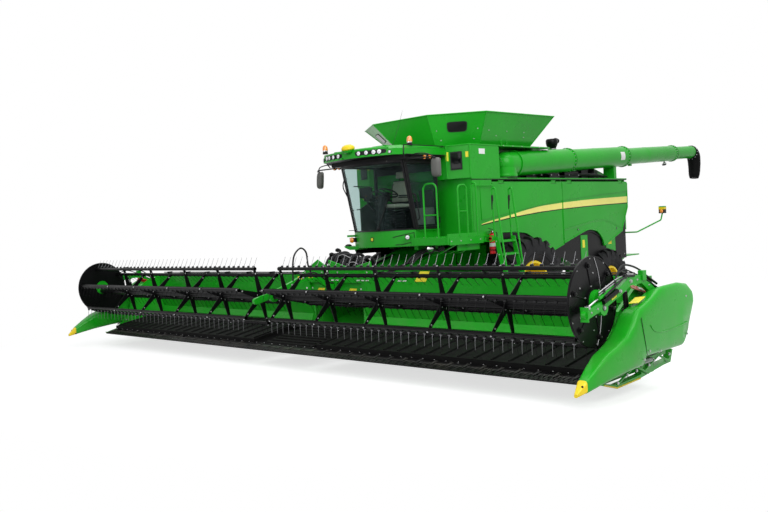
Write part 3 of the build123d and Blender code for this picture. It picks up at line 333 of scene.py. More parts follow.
def glass(name, colour=(0.05, 0.08, 0.08), tint=(0.9, 0.97, 0.96)):
    """Thin tinted pane: clear and slightly green, with the sky's gloss on it."""
    f = Finish(name, colour, 0.03, specular=0.5)
    f.tint(f.between(f.noise(1.5, 3), 0.4, 0.7, 0, 0.4), shade(colour, 1.3))
    f.bump(f.noise(1.2, 1), 0.03, 0.01)
    clear = f.made.new("ShaderNodeBsdfTransparent")
    clear.inputs["Color"].default_value = (*tint, 1)
    facing = f.made.new("ShaderNodeLayerWeight")
    gloss = f.between(facing.outputs["Fresnel"], 0.0, 1.0, 0.0, 0.22)
    f.links.new(blend(f.made, f.links, gloss, clear.outputs[0], f.bsdf.outputs[0]), f.out.inputs[0])
    return f.material


def lamp_lens(name, colour, glow=0.0):
    """Moulded lens with fine ribs."""
    f = Finish(name, colour, 0.12)
    ribs = f.noise(90, 1, (1, 6, 1))
    f.tint(f.between(ribs, 0.4, 0.6), shade(colour, 0.7))
    f.bump(ribs, 0.4, 0.002)
    f.bsdf.inputs["Emission Color"].default_value = (*colour, 1)
    f.bsdf.inputs["Emission Strength"].default_value = glow
    return f.coat(1.0, 0.03).material


def cloth(name, colour, scale=900):
    f = Finish(name, colour, 0.85, specular=0.2)
    weave = f.noise(scale, 1, (1, 1.8, 1))
    f.tint(f.between(weave, 0.4, 0.6), shade(colour, 0.7))
    f.tint(f.between(f.noise(7, 5), 0.4, 0.7, 0, 0.5), shade(colour, 1.2))
    f.bump(weave, 0.35, 0.002)
    f.bsdf.inputs["Sheen Weight"].default_value = 0.3
    return f.material


GREEN = (0.01, 0.39, 0.013)
YELLOW = (0.93, 0.68, 0.02)
M = {
    "green": paint("green_paint", GREEN),
    # painted shade: a darker copy of the green paint for green surfaces in shade; no piece uses it
    "green_shaded": paint("green_paint_shaded", shade(GREEN, 0.8), rough=0.45, coat=0.2),
    "yellow": paint("yellow_paint", YELLOW, rough=0.3, dust=0.12),
    "black": paint("black_paint", (0.004, 0.004, 0.0045), rough=0.3, coat=0.0, dust=0.02, specular=0.12),
    "stripe": paint("stripe_film", (1.0, 0.92, 0.24), rough=0.3, dust=0.0),
    "red": paint("red_paint", (0.75, 0.015, 0.02), rough=0.25, coat=0.4),
    "cast": paint("cast_iron_paint", (0.03, 0.032, 0.03), rough=0.5, coat=0.1),
    "plastic": plastic("black_plastic", (0.009, 0.009, 0.01)),
    "grey_plastic": plastic("grey_plastic", (0.13, 0.13, 0.12)),
    "tyre": rubber("tyre_rubber"),
    "belt": rubber("belt_rubber", (0.004, 0.004, 0.004), rough=0.6, dust=0.015, specular=0.06),
    "hose": rubber("hose_rubber", (0.014, 0.014, 0.015), rough=0.5, dust=0.0),
    "steel": steel("bare_steel"),
    "chrome": steel("chromed_steel", (0.72, 0.72, 0.73), rough=0.12),
    "tine": steel("tine_steel", (0.2, 0.2, 0.21), rough=0.42),
    "glass": glass("clear_glass"),
    "dark_glass": plastic("dark_glass", (0.006, 0.007, 0.007), rough=0.06, grain=30),
    "mirror": steel("mirror_glass", (0.85, 0.87, 0.88), rough=0.03),
    "amber": lamp_lens("amber_lens", (0.9, 0.28, 0.01), 0.15),
    "white_lens": lamp_lens("white_lens", (0.75, 0.77, 0.8), 0.25),
    "red_lens": lamp_lens("red_lens", (0.6, 0.01, 0.01), 0.1),
    "seat": cloth("seat_fabric", (0.42, 0.4, 0.32)),
    "seat_dark": cloth("seat_fabric_dark", (0.03, 0.03, 0.03)),
    "label_yellow": plastic("yellow_label", (0.9, 0.75, 0.05), rough=0.4, grain=200),
    "white_mark_and_highlight": plastic("white_print_and_highlight", (0.8, 0.8, 0.78), rough=0.4, grain=200),
}

NODE_FINISH = {
    # CAD node (or the start of its name): material
    "chassis_frame": "green", "front_axle": "green", "rear_axle": "green", "threshing_housing": "green",
    "grain_tank": "green", "tank_extensions": "green", "engine_hood": "green", "exhaust_stack": "black",
    "straw_chopper": "green", "auger_foot": "green", "engine_block": "cast", "cab_shell": "green",
    "cab_glass": "glass", "cab_roof": "plastic", "operator_seat": "seat", "cab_console": "plastic",
    "access_platform": "green", "handrails": "green", "fire_extinguisher": "red", "mirrors": "plastic",
    "feeder_house": "green", "header_frame": "green", "end_sheets": "green", "deck_arms": "black",
    "draper_belts": "belt", "cutterbar": "black", "crop_dividers": "green", "divider_noses": "yellow",
    "skid_shoes": "green", "lift_barrels": "green", "lift_rods": "chrome", "reel_arms": "green",
    "reel_barrels": "black", "reel_rods": "chrome", "reel_left": "black", "reel_right": "black",
    "reel_disc": "black", "unloading_auger": "green", "auger_spout": "belt", "cab_door_glass": "glass",
    "cab_door": "plastic", "boarding_ladder": "green", "rotary_screen": "black", "steering_rod": "black",
    "front_rim": "yellow", "rear_rim": "yellow", "front_tyre": "tyre", "rear_tyre": "tyre",
    "steering_knuckle": "green", "side_door": "green",
}


def finish_nodes():
    for name, obj in nodes.items():
        key = max((k for k in NODE_FINISH if name.startswith(k)), key=len)
        obj.data.materials.clear()
        obj.data.materials.append(M[NODE_FINISH[key]])


# ---- shape helpers ------------------------------------------------------------------------------


def across(axis):
    """Two unit vectors square to axis and to each other."""
    axis = Vector(axis).normalized()
    other = Vector((0, 0, 1)) if abs(axis.z) < 0.9 else Vector((1, 0, 0))
    u = axis.cross(other).normalized()
    return u, axis.cross(u)


def curve(points, steps=6):
    """A smooth line through the points."""
    pts = [Vector(p) for p in points]
    ends = [pts[0] * 2 - pts[1]] + pts + [pts[-1] * 2 - pts[-2]]
    line = []
    for a, b, c, d in zip(ends, ends[1:], ends[2:], ends[3:]):
        for i in range(steps):
            t = i / steps
            line.append(0.5 * (2 * b + (c - a) * t + (2 * a - 5 * b + 4 * c - d) * t ** 2
                               + (3 * b - a - 3 * c + d) * t ** 3))
    return line + [pts[-1]]


def spread(first, last, pitch):
    """Evenly spaced places from first to last, about pitch apart."""
    count = max(1, round(abs(last - first) / pitch))
    return [first + (last - first) * i / count for i in range(count + 1)]


def rounded(count, power=0.42):
    """Unit outline between a circle and a square."""
    turns = [(math.cos(math.tau * k / count), math.sin(math.tau * k / count)) for k in range(count)]
    return [(math.copysign(abs(c) ** power, c), math.copysign(abs(s) ** power, s)) for c, s in turns]


def turned_from(angle):
    """The direction that many degrees up from straight ahead."""
    a = math.radians(angle)
    return Vector((math.cos(a), 0, math.sin(a)))


def ring(centre, radius, count, u=Vector((1, 0, 0)), v=Vector((0, 0, 1))):
    """Places round a circle in the plane of u and v."""
    turns = (math.tau * k / count for k in range(count))
    return [Vector(centre) + (u * math.cos(a) + v * math.sin(a)) * radius for a in turns]


def rectangle(a, b, c, d):
    """Corners from a to b in the first coordinate and from c to d in the second."""
    return (a, c), (b, c), (b, d), (a, d)


def skin(count, rows):
    """The quads that join rows of count points into a closed tube."""
    return [(i * count + k, i * count + (k + 1) % count, (i + 1) * count + (k + 1) % count,
             (i + 1) * count + k)
            for i in range(rows - 1) for k in range(count)]


def caps(count, rows):
    """The two end faces of such a tube."""
    return [tuple(range(count - 1, -1, -1)), tuple((rows - 1) * count + k for k in range(count))]


def flipped(faces):
    return [tuple(reversed(face)) for face in faces]


class Piece:
    """Collects the faces of one detail piece. Every position is from the front axle."""

    def __init__(self, finish="black", side=1):
        self.points, self.faces, self.marks, self.finishes = [], [], [], []
        self.side = side
        self.use(finish)

    def use(self, finish):
        if finish not in self.finishes:
            self.finishes.append(finish)
        self.mark = self.finishes.index(finish)
        return self

    def both(self):
        """Left side, then right side: what is added in the second pass is mirrored."""
        for self.side in (1, -1):
            yield self.side
        self.side = 1

    def here(self, point):
        return Vector((point[0], self.side * point[1], point[2]))

    def add(self, points, faces):
        base = len(self.points)
        self.points += [Vector(p) for p in points]
        self.faces += [tuple(base + i for i in face) for face in faces]
        self.marks += [self.mark] * len(faces)
        return self

    def block(self, x, y, z):
        """A box from its (low, high) along each axis."""
        y = sorted(self.side * v for v in y)
        corners = [(x[i], y[j], z[k]) for i in (0, 1) for j in (0, 1) for k in (0, 1)]
        return self.add(corners, [(0, 1, 3, 2), (4, 6, 7, 5), (0, 4, 5, 1), (2, 3, 7, 6), (0, 2, 6, 4),
                                  (1, 5, 7, 3)])

    def slab(self, outline, shift):
        """A flat outline given thickness by the vector shift."""
        n, shift = len(outline), self.here(shift)
        outline = [self.here(p) for p in outline]
        start = outline[0]
        normal = sum(((b - start).cross(c - start) for b, c in zip(outline[1:], outline[2:])), Vector())
        if normal.dot(shift) > 0:
            outline.reverse()
        walls = [(i, n + i, n + (i + 1) % n, (i + 1) % n) for i in range(n)]
        ends = [tuple(range(n)), tuple(range(2 * n - 1, n - 1, -1))]
        return self.add(outline + [p + shift for p in outline], ends + walls)

    def plate(self, axis, at, thick, outline):
        """A slab square to the axis: outline holds the other two coordinates."""
        k = "xyz".index(axis)
        shift = [thick if i == k else 0 for i in range(3)]
        return self.slab([(*p[:k], at, *p[k:]) for p in outline], shift)

    def tube(self, line, radius, sides=8, flat=1.0):
        """A tube along the line; radius is one number or one for each point."""
        line = [self.here(p) for p in line]
        radii = [radius] * len(line) if isinstance(radius, (int, float)) else radius
        u, v = across(line[1] - line[0])
        rings = []
        for i, (p, r) in enumerate(zip(line, radii)):
            ahead = (line[min(i + 1, len(line) - 1)] - line[max(i - 1, 0)]).normalized()
            u = (u - ahead * u.dot(ahead)).normalized()
            v = ahead.cross(u)
            for k in range(sides):
                a = 2 * math.pi * k / sides
                rings.append(p + u * (r * math.cos(a)) + v * (r * flat * math.sin(a)))
        return self.add(rings, skin(sides, len(line)) + caps(sides, len(line)))

    def hose(self, points, radius, sides=8):
        """A tube along the smooth line through the points."""
        return self.tube(curve(points), radius, sides)

    def loft(self, rows):
        """A closed skin over rings of points, capped at both ends."""
        points = [self.here(p) for row in rows for p in row]
        faces = skin(len(rows[0]), len(rows)) + caps(len(rows[0]), len(rows))
        centre = sum(points, Vector()) / len(points)
        corners = ([points[i] - centre for i in f[:3]] for f in faces)
        if sum(a.dot(b.cross(c)) for a, b, c in corners) < 0:
            faces = flipped(faces)
        return self.add(points, faces)

    def turned(self, centre, axis, profile, steps=32, closed=False):
        """A turned shape; profile is (distance along the axis, radius) from one end to the other."""
        centre, axis = self.here(centre), self.here(axis).normalized()
        u, v = across(axis)
        points = []
        for h, r in profile:
            for k in range(steps):
                a = 2 * math.pi * k / steps
                points.append(centre + axis * h + u * (r * math.cos(a)) + v * (r * math.sin(a)))
        n = len(profile)
        if not closed:
            return self.add(points, skin(steps, n) + caps(steps, n))
        return self.add(points, [tuple(i % (n * steps) for i in face) for face in skin(steps, n + 1)])

    def disc(self, at, axis, steps, *profile):
        """A turned shape whose profile starts at distance 0: its radius there, then (distance, radius)."""
        return self.turned(at, axis, [(0, profile[0]), *profile[1:]], steps)

    def bolts(self, places, axis, size):
        """Hexagon heads on their washers."""
        profile = [(h * size, r * size) for h, r in ((0, 1.35), (0.25, 1.35), (0.25, 1.0), (0.9, 1.0),
                                                     (1.05, 0.75))]
        for at in places:
            self.turned(at, axis, profile, 6)
        return self

    def done(self, name, body, slot, smooth=35, bevel=0.0):
        mesh = bpy.data.meshes.new(name)
        mesh.from_pydata([p + AXLE for p in self.points], [], self.faces)
        for finish in self.finishes:
            mesh.materials.append(M[finish])
        mesh.polygons.foreach_set("material_index", self.marks)
        mesh.shade_smooth()
        mesh.set_sharp_from_angle(angle=math.radians(smooth))
        mesh.update()
        obj = add_object(name, mesh)
        if bevel:
            round_off = obj.modifiers.new("round_off", "BEVEL")
            round_off.width, round_off.segments, round_off.angle_limit = bevel, 2, math.radians(40)
            round_off.limit_method = "ANGLE"
        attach(obj, body)
        return obj


UP = (0, 0, 1)
AHEAD = (1, 0, 0)
OUT = (0, 1, 0)       # away from the middle, on the side that is being built
IN = (0, -1, 0)
DOWN = (0, 0, -1)


# ---- reel ---------------------------------------------------------------------------------------

REEL = Vector((5.29, 0, 1.26))
BAT_CIRCLE = 0.52
BAT_TUBE = 0.029
BAT_END = 6.37
TINE_PITCH = 0.152
TINE = 0.2
SPIDERS = (0.371, 1.537, 2.692, 3.997, 5.121)
BATS = (
    # bat's place round the reel, the way its tines point, in degrees up from straight ahead, their finish;
    # black is painted shade on the tines that hang in shadow, tine steel on the lit ones
    (17, 288, "black"), (77, 118, "tine"), (137, 222, "black"),
    (197, 241, "black"), (257, 258, "black"), (317, 275, "tine"),
)


def reel_tines(name, side):
    """Spring tines on their clips along the six bats of one reel half."""
    piece = Piece("plastic", side)
    along = Vector((0, side, 0))
    for place, points, finish in BATS:
        bat = REEL + turned_from(place) * BAT_CIRCLE
        out, lean = turned_from(points), turned_from(points + 90)
        for y in spread(SPIDERS[0] + 0.04, BAT_END, TINE_PITCH):
            clip = bat + Vector((0, y, 0)) + out * (BAT_TUBE + 0.012)
            piece.use("plastic").tube([clip - along * 0.02, clip + along * 0.02], 0.017, 6)
            # where BATS gives black, the tines are painted black as shade instead of steel
            piece.use(finish)
            if finish == "tine":
                coil = clip + out * 0.014
                piece.tube([coil - along * 0.024, coil + along * 0.024], 0.009, 6)
            line = [clip + out * (TINE * t) + lean * (0.014 * (t - t * t) * 4 * (1 - t)) for t in (0, 0.3,
                                                                                                   0.65,
                                                                                                   0.95)]
            piece.tube(line, [0.0045, 0.004, 0.0036, 0.0028], 5)
    piece.done(f"reel_tines_{name}", f"reel_{name}", "bare_steel")


def reel_fittings(name, side):
    """Bolts and clamps where the spiders carry the bats, and the bats' stiffening strips."""
    piece = Piece("steel", side)
    for y in SPIDERS:
        for place, _, _ in BATS:
            arm = turned_from(place)
            at = REEL + Vector((0, y, 0))
            for reach in (0.092, 0.43):
                for way in (1, -1):
                    piece.bolts([at + arm * reach + Vector((0, way * 0.0065, 0))], (0, way, 0), 0.012)
            band = at + arm * BAT_CIRCLE
            clamp = [(0, BAT_TUBE + 0.006), (0.06, BAT_TUBE + 0.006)]
            piece.use("black").turned(band - Vector((0, side * 0.03, 0)), (0, side, 0), clamp, 12)
            piece.use("steel").bolts([band + arm * (BAT_TUBE + 0.004)], arm, 0.011)
    piece.use("black")
    for place, _, _ in BATS:
        arm, flank = turned_from(place), turned_from(place + 90)
        for flat in (-1, 1):
            edge = REEL + arm * BAT_CIRCLE + flank * (flat * (BAT_TUBE + 0.004)) + Vector((0,
                                                                                           SPIDERS[0] + 0.03,
                                                                                           0))
            piece.slab([edge + flank * (flat * u) + arm * v for u, v in rectangle(-0.006, 0.01, -0.003,
                                                                                  0.003)],
                       (0, 6.38 - SPIDERS[0] - 0.03, 0))
    piece.done(f"reel_fittings_{name}", f"reel_{name}", "black_paint")


DISC_FACE = Vector((5.29, 6.4305, 1.335))


def disc_details(name, side):
    """Bolt rows, slots and the joint strap on the outer face of an end disc."""
    piece = Piece("steel", side)
    for radius, count, size in ((0.545, 10, 0.008), (0.36, 6, 0.009), (0.2, 6, 0.01)):
        piece.bolts([DISC_FACE + turned_from(360 * k / count + radius * 90) * radius for k in range(count)],
                    OUT, size)
    for place, _, _ in BATS:
        at = DISC_FACE + turned_from(place) * 0.47
        piece.use("black").disc(at, OUT, 16, 0.045, (0.006, 0.045), (0.01, 0.03), (0.03, 0.03), (0.034, 0.02))
        piece.use("cast").bolts([at + Vector((0, 0.034, 0))], OUT, 0.012)
    strap = [(-0.05, 0.555), (-0.13, 0.38), (-0.17, 0.2), (-0.18, 0.0), (-0.17, -0.2), (-0.13, -0.38),
             (-0.05, -0.555)]
    piece.use("steel").tube(curve([DISC_FACE + Vector((x, 0.004, z)) for x, z in strap], 5), 0.006, 6)
    piece.use("black")
    for start in range(15, 375, 60):
        piece.tube([DISC_FACE + turned_from(start) * r + Vector((0, 0.003, 0)) for r in (0.22, 0.52)], 0.007,
                   6)
    piece.turned(DISC_FACE, OUT, [(0, 0.572), (0.007, 0.572), (0.007, 0.556), (0, 0.556)], 64, closed=True)
    piece.done(f"reel_disc_details_{name}", f"reel_disc_{name}", "black_paint")


# ---- header deck --------------------------------------------------------------------------------

BELT_REAR, BELT_FRONT = Vector((3.9, 0, 0.62)), Vector((5.11, 0, 0.42))
FEED_REAR, FEED_FRONT = Vector((3.812, 0, 0.57)), Vector((5.1, 0, 0.357))
BELT_END = 6.215      # outer edge of the side belts
KNIFE_END = 6.2       # outer end of the knife


def square_to(run):
    return Vector((-run.z, 0, run.x)).normalized()


def belt_slats():
    """Cleats, edge beads and seams of the three belts."""
    piece = Piece("belt")
    cleat = ((-0.022, 0.0), (0.022, 0.0), (0.008, 0.024), (-0.008, 0.024))
    run = BELT_FRONT - BELT_REAR
    up = square_to(run)
    for side in piece.both():
        for y in spread(0.96, 6.16, 0.31):
            rear = BELT_REAR + run * 0.03
            piece.slab([rear + Vector((0, y + side * w, 0)) + up * h for w, h in cleat], run * 0.94)
        for t in (0.0, 0.97):
            bead = [BELT_REAR + run * (t + s) + Vector((0, y, 0)) for s, y in
                    ((0, 0.905), (0.03, 0.905), (0.03, BELT_END), (0, BELT_END))]
            piece.slab(bead, up * 0.008)
    run = FEED_FRONT - FEED_REAR
    up, ahead = square_to(run), run.normalized()
    for t in spread(0.04, 0.96, 0.1):
        at = FEED_REAR + run * t + Vector((0, -0.64, 0))
        piece.slab([at + ahead * w + up * min(h, 0.022) for w, h in cleat], (0, 1.28, 0))
    piece.done("belt_slats", "header", "belt_rubber")


GUARD_PITCH = 0.0762


def knife():
    """Pointed guards, knife sections and hold-down clips along the cutterbar."""
    piece = Piece("steel")
    rear, tip = 5.24, 5.36
    for i, y in enumerate(spread(-KNIFE_END, KNIFE_END, GUARD_PITCH)):
        piece.use("black" if i % 2 else "cast")
        top = [(rear, y - 0.014, 0.322), (rear, y + 0.014, 0.322), (tip, y, 0.298)]
        low = [(rear, y - 0.014, 0.29), (rear, y + 0.014, 0.29), (tip, y, 0.292)]
        piece.add(top + low, [(0, 2, 1), (3, 4, 5), (0, 1, 4, 3), (1, 2, 5, 4), (2, 0, 3, 5)])
    piece.use("cast")
    for y in spread(-6.16, 6.16, GUARD_PITCH):
        piece.slab([(5.2, y - 0.034, 0.331), (5.2, y + 0.034, 0.331), (5.3, y, 0.318)], (0, 0, 0.004))
    for y in spread(-6.1, 6.1, 0.3048):
        clip = [(5.14, y - 0.03, 0.347), (5.14, y + 0.03, 0.347), (5.26, y + 0.016, 0.327),
                (5.26, y - 0.016, 0.327)]
        piece.slab(clip, (0, 0, 0.01)).bolts([(5.165, y, 0.355)], UP, 0.011)
    lip = ((5.13, 0.268), (5.28, 0.262), (5.28, 0.27), (5.13, 0.276))
    piece.use("green").plate("y", -6.24, 12.48, lip)
    piece.use("grey_plastic")
    for y in spread(-6.0, 6.0, 0.46):
        piece.slab([(x, y + w, z) for x, w, z in ((5.285, -0.05, 0.262), (5.285, 0.05, 0.262),
                                                  (5.31, 0.05, 0.27),
                                                  (5.31, -0.05, 0.27))], (0, 0, 0.004))
    piece.done("knife_and_guards", "header", "bare_steel")


def belt_guides():
    """Black canvas strips that close the gap between the belts and the knife, with their screws."""
    piece = Piece("belt")
    for y in spread(-KNIFE_END, 5.2, 1.15):
        piece.slab([(5.1, y + 0.01, 0.36), (5.135, y + 0.01, 0.352), (5.135, y + 1.14, 0.352),
                    (5.1, y + 1.14, 0.36)],
                   (0, 0, 0.006))
    piece.use("steel").bolts([(5.12, y, 0.363) for y in spread(-6.15, 6.15, 0.23)], UP, 0.008)
    piece.done("belt_guides", "header", "belt_rubber")


SHEET = 3.722                      # front face of the header's back sheet
BACK_PROFILES = (
    # x, z of the pressed shapes that run along the back sheet: hood, foot and apron
    ((SHEET, 1.13), (3.802, 1.15), (3.802, 1.386), (SHEET, 1.39)),
    ((SHEET, 0.63), (3.79, 0.63), (3.735, 0.755), (SHEET, 0.76)),
    ((SHEET, 0.765), (3.73, 0.765), (3.8, 1.128), (SHEET, 1.128)),
)
WHITE_MARKS = ((-0.82, 1.27), (-0.73, 1.27), (-0.86, 1.2), (-0.76, 1.2), (0.58, 1.2), (0.66, 1.26),
               (0.72, 1.26),
               (0.7, 1.2))


def back_sheet_details():
    """Pressed ribs, bolts, pipes, clamps and blank labels along the back of the header, and short white
    strips of painted highlight along its top edge.
    """
    piece = Piece("green")
    for side in piece.both():
        for y in spread(1.1, 6.1, 0.5):
            piece.plate("x", SHEET, 0.01, rectangle(y - side * 0.02, y + side * 0.02, 0.66, 1.3))
        piece.plate("x", SHEET, 0.008, rectangle(0.7, 6.33, 1.02, 1.05))
        piece.slab([(SHEET, 0.72, 0.6), (SHEET, 6.33, 0.6), (3.9, 6.33, 0.63), (3.9, 0.72, 0.63)],
                   (0, 0, 0.006))
        for profile in BACK_PROFILES:
            piece.plate("y", 0.74, 5.59, profile)
    piece.block((SHEET, 3.734), (-0.74, 0.74), (1.15, 1.39))
    # painted highlight: short white strips along the top edge of the back sheet, broken by gaps
    piece.use("white_mark_and_highlight")
    for y in (-0.95, -0.84, -0.05, 0.08, 0.66, 0.78, 0.9, 1.72, 1.84):
        piece.plate("x", 3.802, 0.003, ((y - 0.05, 1.42), (y + 0.03, 1.42), (y + 0.05, 1.44),
                                        (y - 0.03, 1.44)))
    piece.use("green").bolts([(3.8, y, z) for y in spread(-6.2, 6.2, 0.25) for z in (1.395, 1.515)], AHEAD,
                             0.011)
    piece.use("hose")
    for z, r in ((1.545, 0.013), (1.575, 0.01)):
        for x, end in ((3.76, 6.2), (3.7, 5.6)):
            piece.tube([(x, -end, z), (x, end, z)], r, 10)
    piece.use("black")
    for y in spread(-6.0, 6.0, 0.8):
        piece.block((3.67, 3.79), (y - 0.02, y + 0.02), (1.53, 1.592))
    piece.use("label_yellow")
    for y in (-0.47, 0.43):
        piece.plate("x", 3.734, 0.004, ((y - 0.12, 1.2), (y + 0.07, 1.2), (y + 0.12, 1.27), (y - 0.07, 1.27)))
    piece.use("white_mark_and_highlight")
    for y, z in WHITE_MARKS:
        on = (3.73, 3.738) if abs(y) < 0.74 else (3.8, 3.806)
        piece.block(on, (y - 0.02, y + 0.02), (z - 0.014, z + 0.014))
    piece.done("header_back_details", "header", "green_paint")


# ---- reel arms, dividers and header ends --------------------------------------------------------

ARM_Y = 6.55
SHELL = (
    # crop divider sections: x, inner y, outer y, underside, top
    (3.245, 6.56, 6.80, 0.64, 1.33), (3.40, 6.55, 6.812, 0.565, 1.43), (3.65, 6.54, 6.815, 0.562, 1.465),
    (4.05, 6.53, 6.815, 0.562, 1.455), (4.22, 6.52, 6.815, 0.562, 1.425), (4.40, 6.49, 6.815, 0.562, 1.335),
    (4.60, 6.465, 6.812, 0.562, 1.26), (4.67, 6.46, 6.81, 0.54, 1.24), (4.70, 6.458, 6.81, 0.45, 1.232),
    (4.80, 6.457, 6.806, 0.445, 1.19), (4.90, 6.457, 6.80, 0.44, 1.07), (5.07, 6.457, 6.79, 0.432, 0.90),
    (5.3, 6.466, 6.772, 0.408, 0.80), (5.5, 6.482, 6.75, 0.386, 0.735), (5.72, 6.51, 6.72, 0.35, 0.605),
    (5.93, 6.543, 6.683, 0.312, 0.468),
)


def shell_ring(x, y0, y1, z0, z1):
    """One rounded cross section of a divider shell."""
    outline = []
    for c, s in rounded(40):
        lean = 0.05 * (1 - c) * (z1 - z0) if s > 0.5 else 0
        z = (z0 + z1) / 2 + s * (z1 - z0) / 2 - lean
        rear = 3.24 + max(0.0, 1.15 - z) * 0.576
        outline.append((max(x, rear + (0.005 if x < 3.3 else 0.02)), (y0 + y1) / 2 + c * (y1 - y0) / 2, z))
    return outline


def divider_shells():
    """Moulded crop dividers: a high rear skirt, then a shield that narrows to the nose."""
    piece = Piece("green")
    for _ in piece.both():
        piece.loft([shell_ring(*section) for section in SHELL])
    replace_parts(piece.done("divider_shells", "header", "green_paint", smooth=50), "crop_dividers")


def divider_details():
    """Seams, creases and bolts of the crop dividers, and the bolts of the yellow noses."""
    piece = Piece("hose")
    outer = 6.812
    crease = ((4.57, 0.97), (4.48, 0.89), (4.33, 0.852), (4.1, 0.845), (3.8, 0.86), (3.5, 0.885))
    for _ in piece.both():
        piece.use("hose")
        piece.hose([(4.79, 6.808, 1.09), (4.775, outer, 1.0), (4.71, outer, 0.75), (4.665, 6.806, 0.6)],
                   0.0045, 6)
        piece.use("green").tube(curve([(x, outer, z) for x, z in crease]), 0.011, 8, flat=0.7)
        places = ((3.5, 0.72), (3.5, 1.24), (4.6, 0.64), (4.75, 0.55), (4.3, 0.6))
        piece.use("steel").bolts([(x, outer - 0.003, z) for x, z in places], OUT, 0.012)
        piece.use("black").disc((5.985, 6.642, 0.40), (0.3, 1, 0.4), 12, 0.016, (0.012, 0.016), (0.016, 0.01))
        piece.turned((5.94, 6.5, 0.33), OUT, [(0.04, 0.016), (0.06, 0.016)], 12)
        label = [(4.64, 6.56, 1.243), (4.45, 6.56, 1.305), (4.45, 6.7, 1.32), (4.64, 6.7, 1.258)]
        piece.use("label_yellow").slab(label, (0, 0, 0.006))
    piece.done("divider_details", "header", "green_paint")


def skid_details():
    """Linkage, springs, edges and bolts of the end skids."""
    piece = Piece("yellow")
    links = ((3.5, 3.95, 0.32, 0.52), (4.1, 4.7, 0.25, 0.5), (3.7, 4.2, 0.48, 0.3), (4.35, 4.95, 0.45, 0.24))
    pins = ((3.5, 0.42), (3.95, 0.4), (4.1, 0.36), (4.45, 0.34), (4.7, 0.32), (4.95, 0.26))
    for side in piece.both():
        piece.use("yellow").tube([(4.3, 6.502, 0.208), (4.92, 6.502, 0.187), (5.23, 6.502, 0.272)], 0.012, 8)
        piece.use("green")
        for x0, x1, z0, z1 in links:
            piece.tube([(x0, 6.52, z0), (x1, 6.52, z1)], 0.016, 8)
        piece.plate("y", 6.51, 0.02, ((3.6, 0.44), (4.7, 0.38), (4.7, 0.43), (3.6, 0.49)))
        piece.use("steel").bolts([(x, 6.53, z) for x, z in pins], OUT, 0.018)
        piece.tube([(4.05 + 0.004 * k, 6.55 + side * 0.028 * math.cos(k * 0.9),
                     0.43 + 0.028 * math.sin(k * 0.9))
                    for k in range(60)], 0.006, 6)
        piece.use("hose").hose([(3.6, 6.56, 0.53), (4.0, 6.56, 0.5), (4.5, 6.56, 0.52), (4.9, 6.55, 0.42)],
                               0.011)
    piece.done("skid_details", "header", "green_paint")


ARM_HOSES = (
    # radius, then the points of a hose on an end arm
    (0.013, (4.98, 6.545, 1.42), (4.88, 6.53, 1.6), (4.7, 6.52, 1.74), (4.44, 6.52, 1.72), (4.15, 6.52, 1.62),
     (3.95, 6.53, 1.47), (3.82, 6.5, 1.42)),
    (0.01, (4.3, 6.53, 1.59), (4.6, 6.5, 1.68), (4.83, 6.5, 1.6), (4.9, 6.51, 1.42)),
)
ARM_BOLTS = (
    # size, then x, z of bolts on the arms' outer faces
    (0.022, (3.8, 1.3), (4.6, 1.535), (5.29, 1.26), (4.88, 1.43)),
    (0.011, (5.45, 1.265), (5.6, 1.235), (4.1, 1.44), (4.42, 1.54)),
)


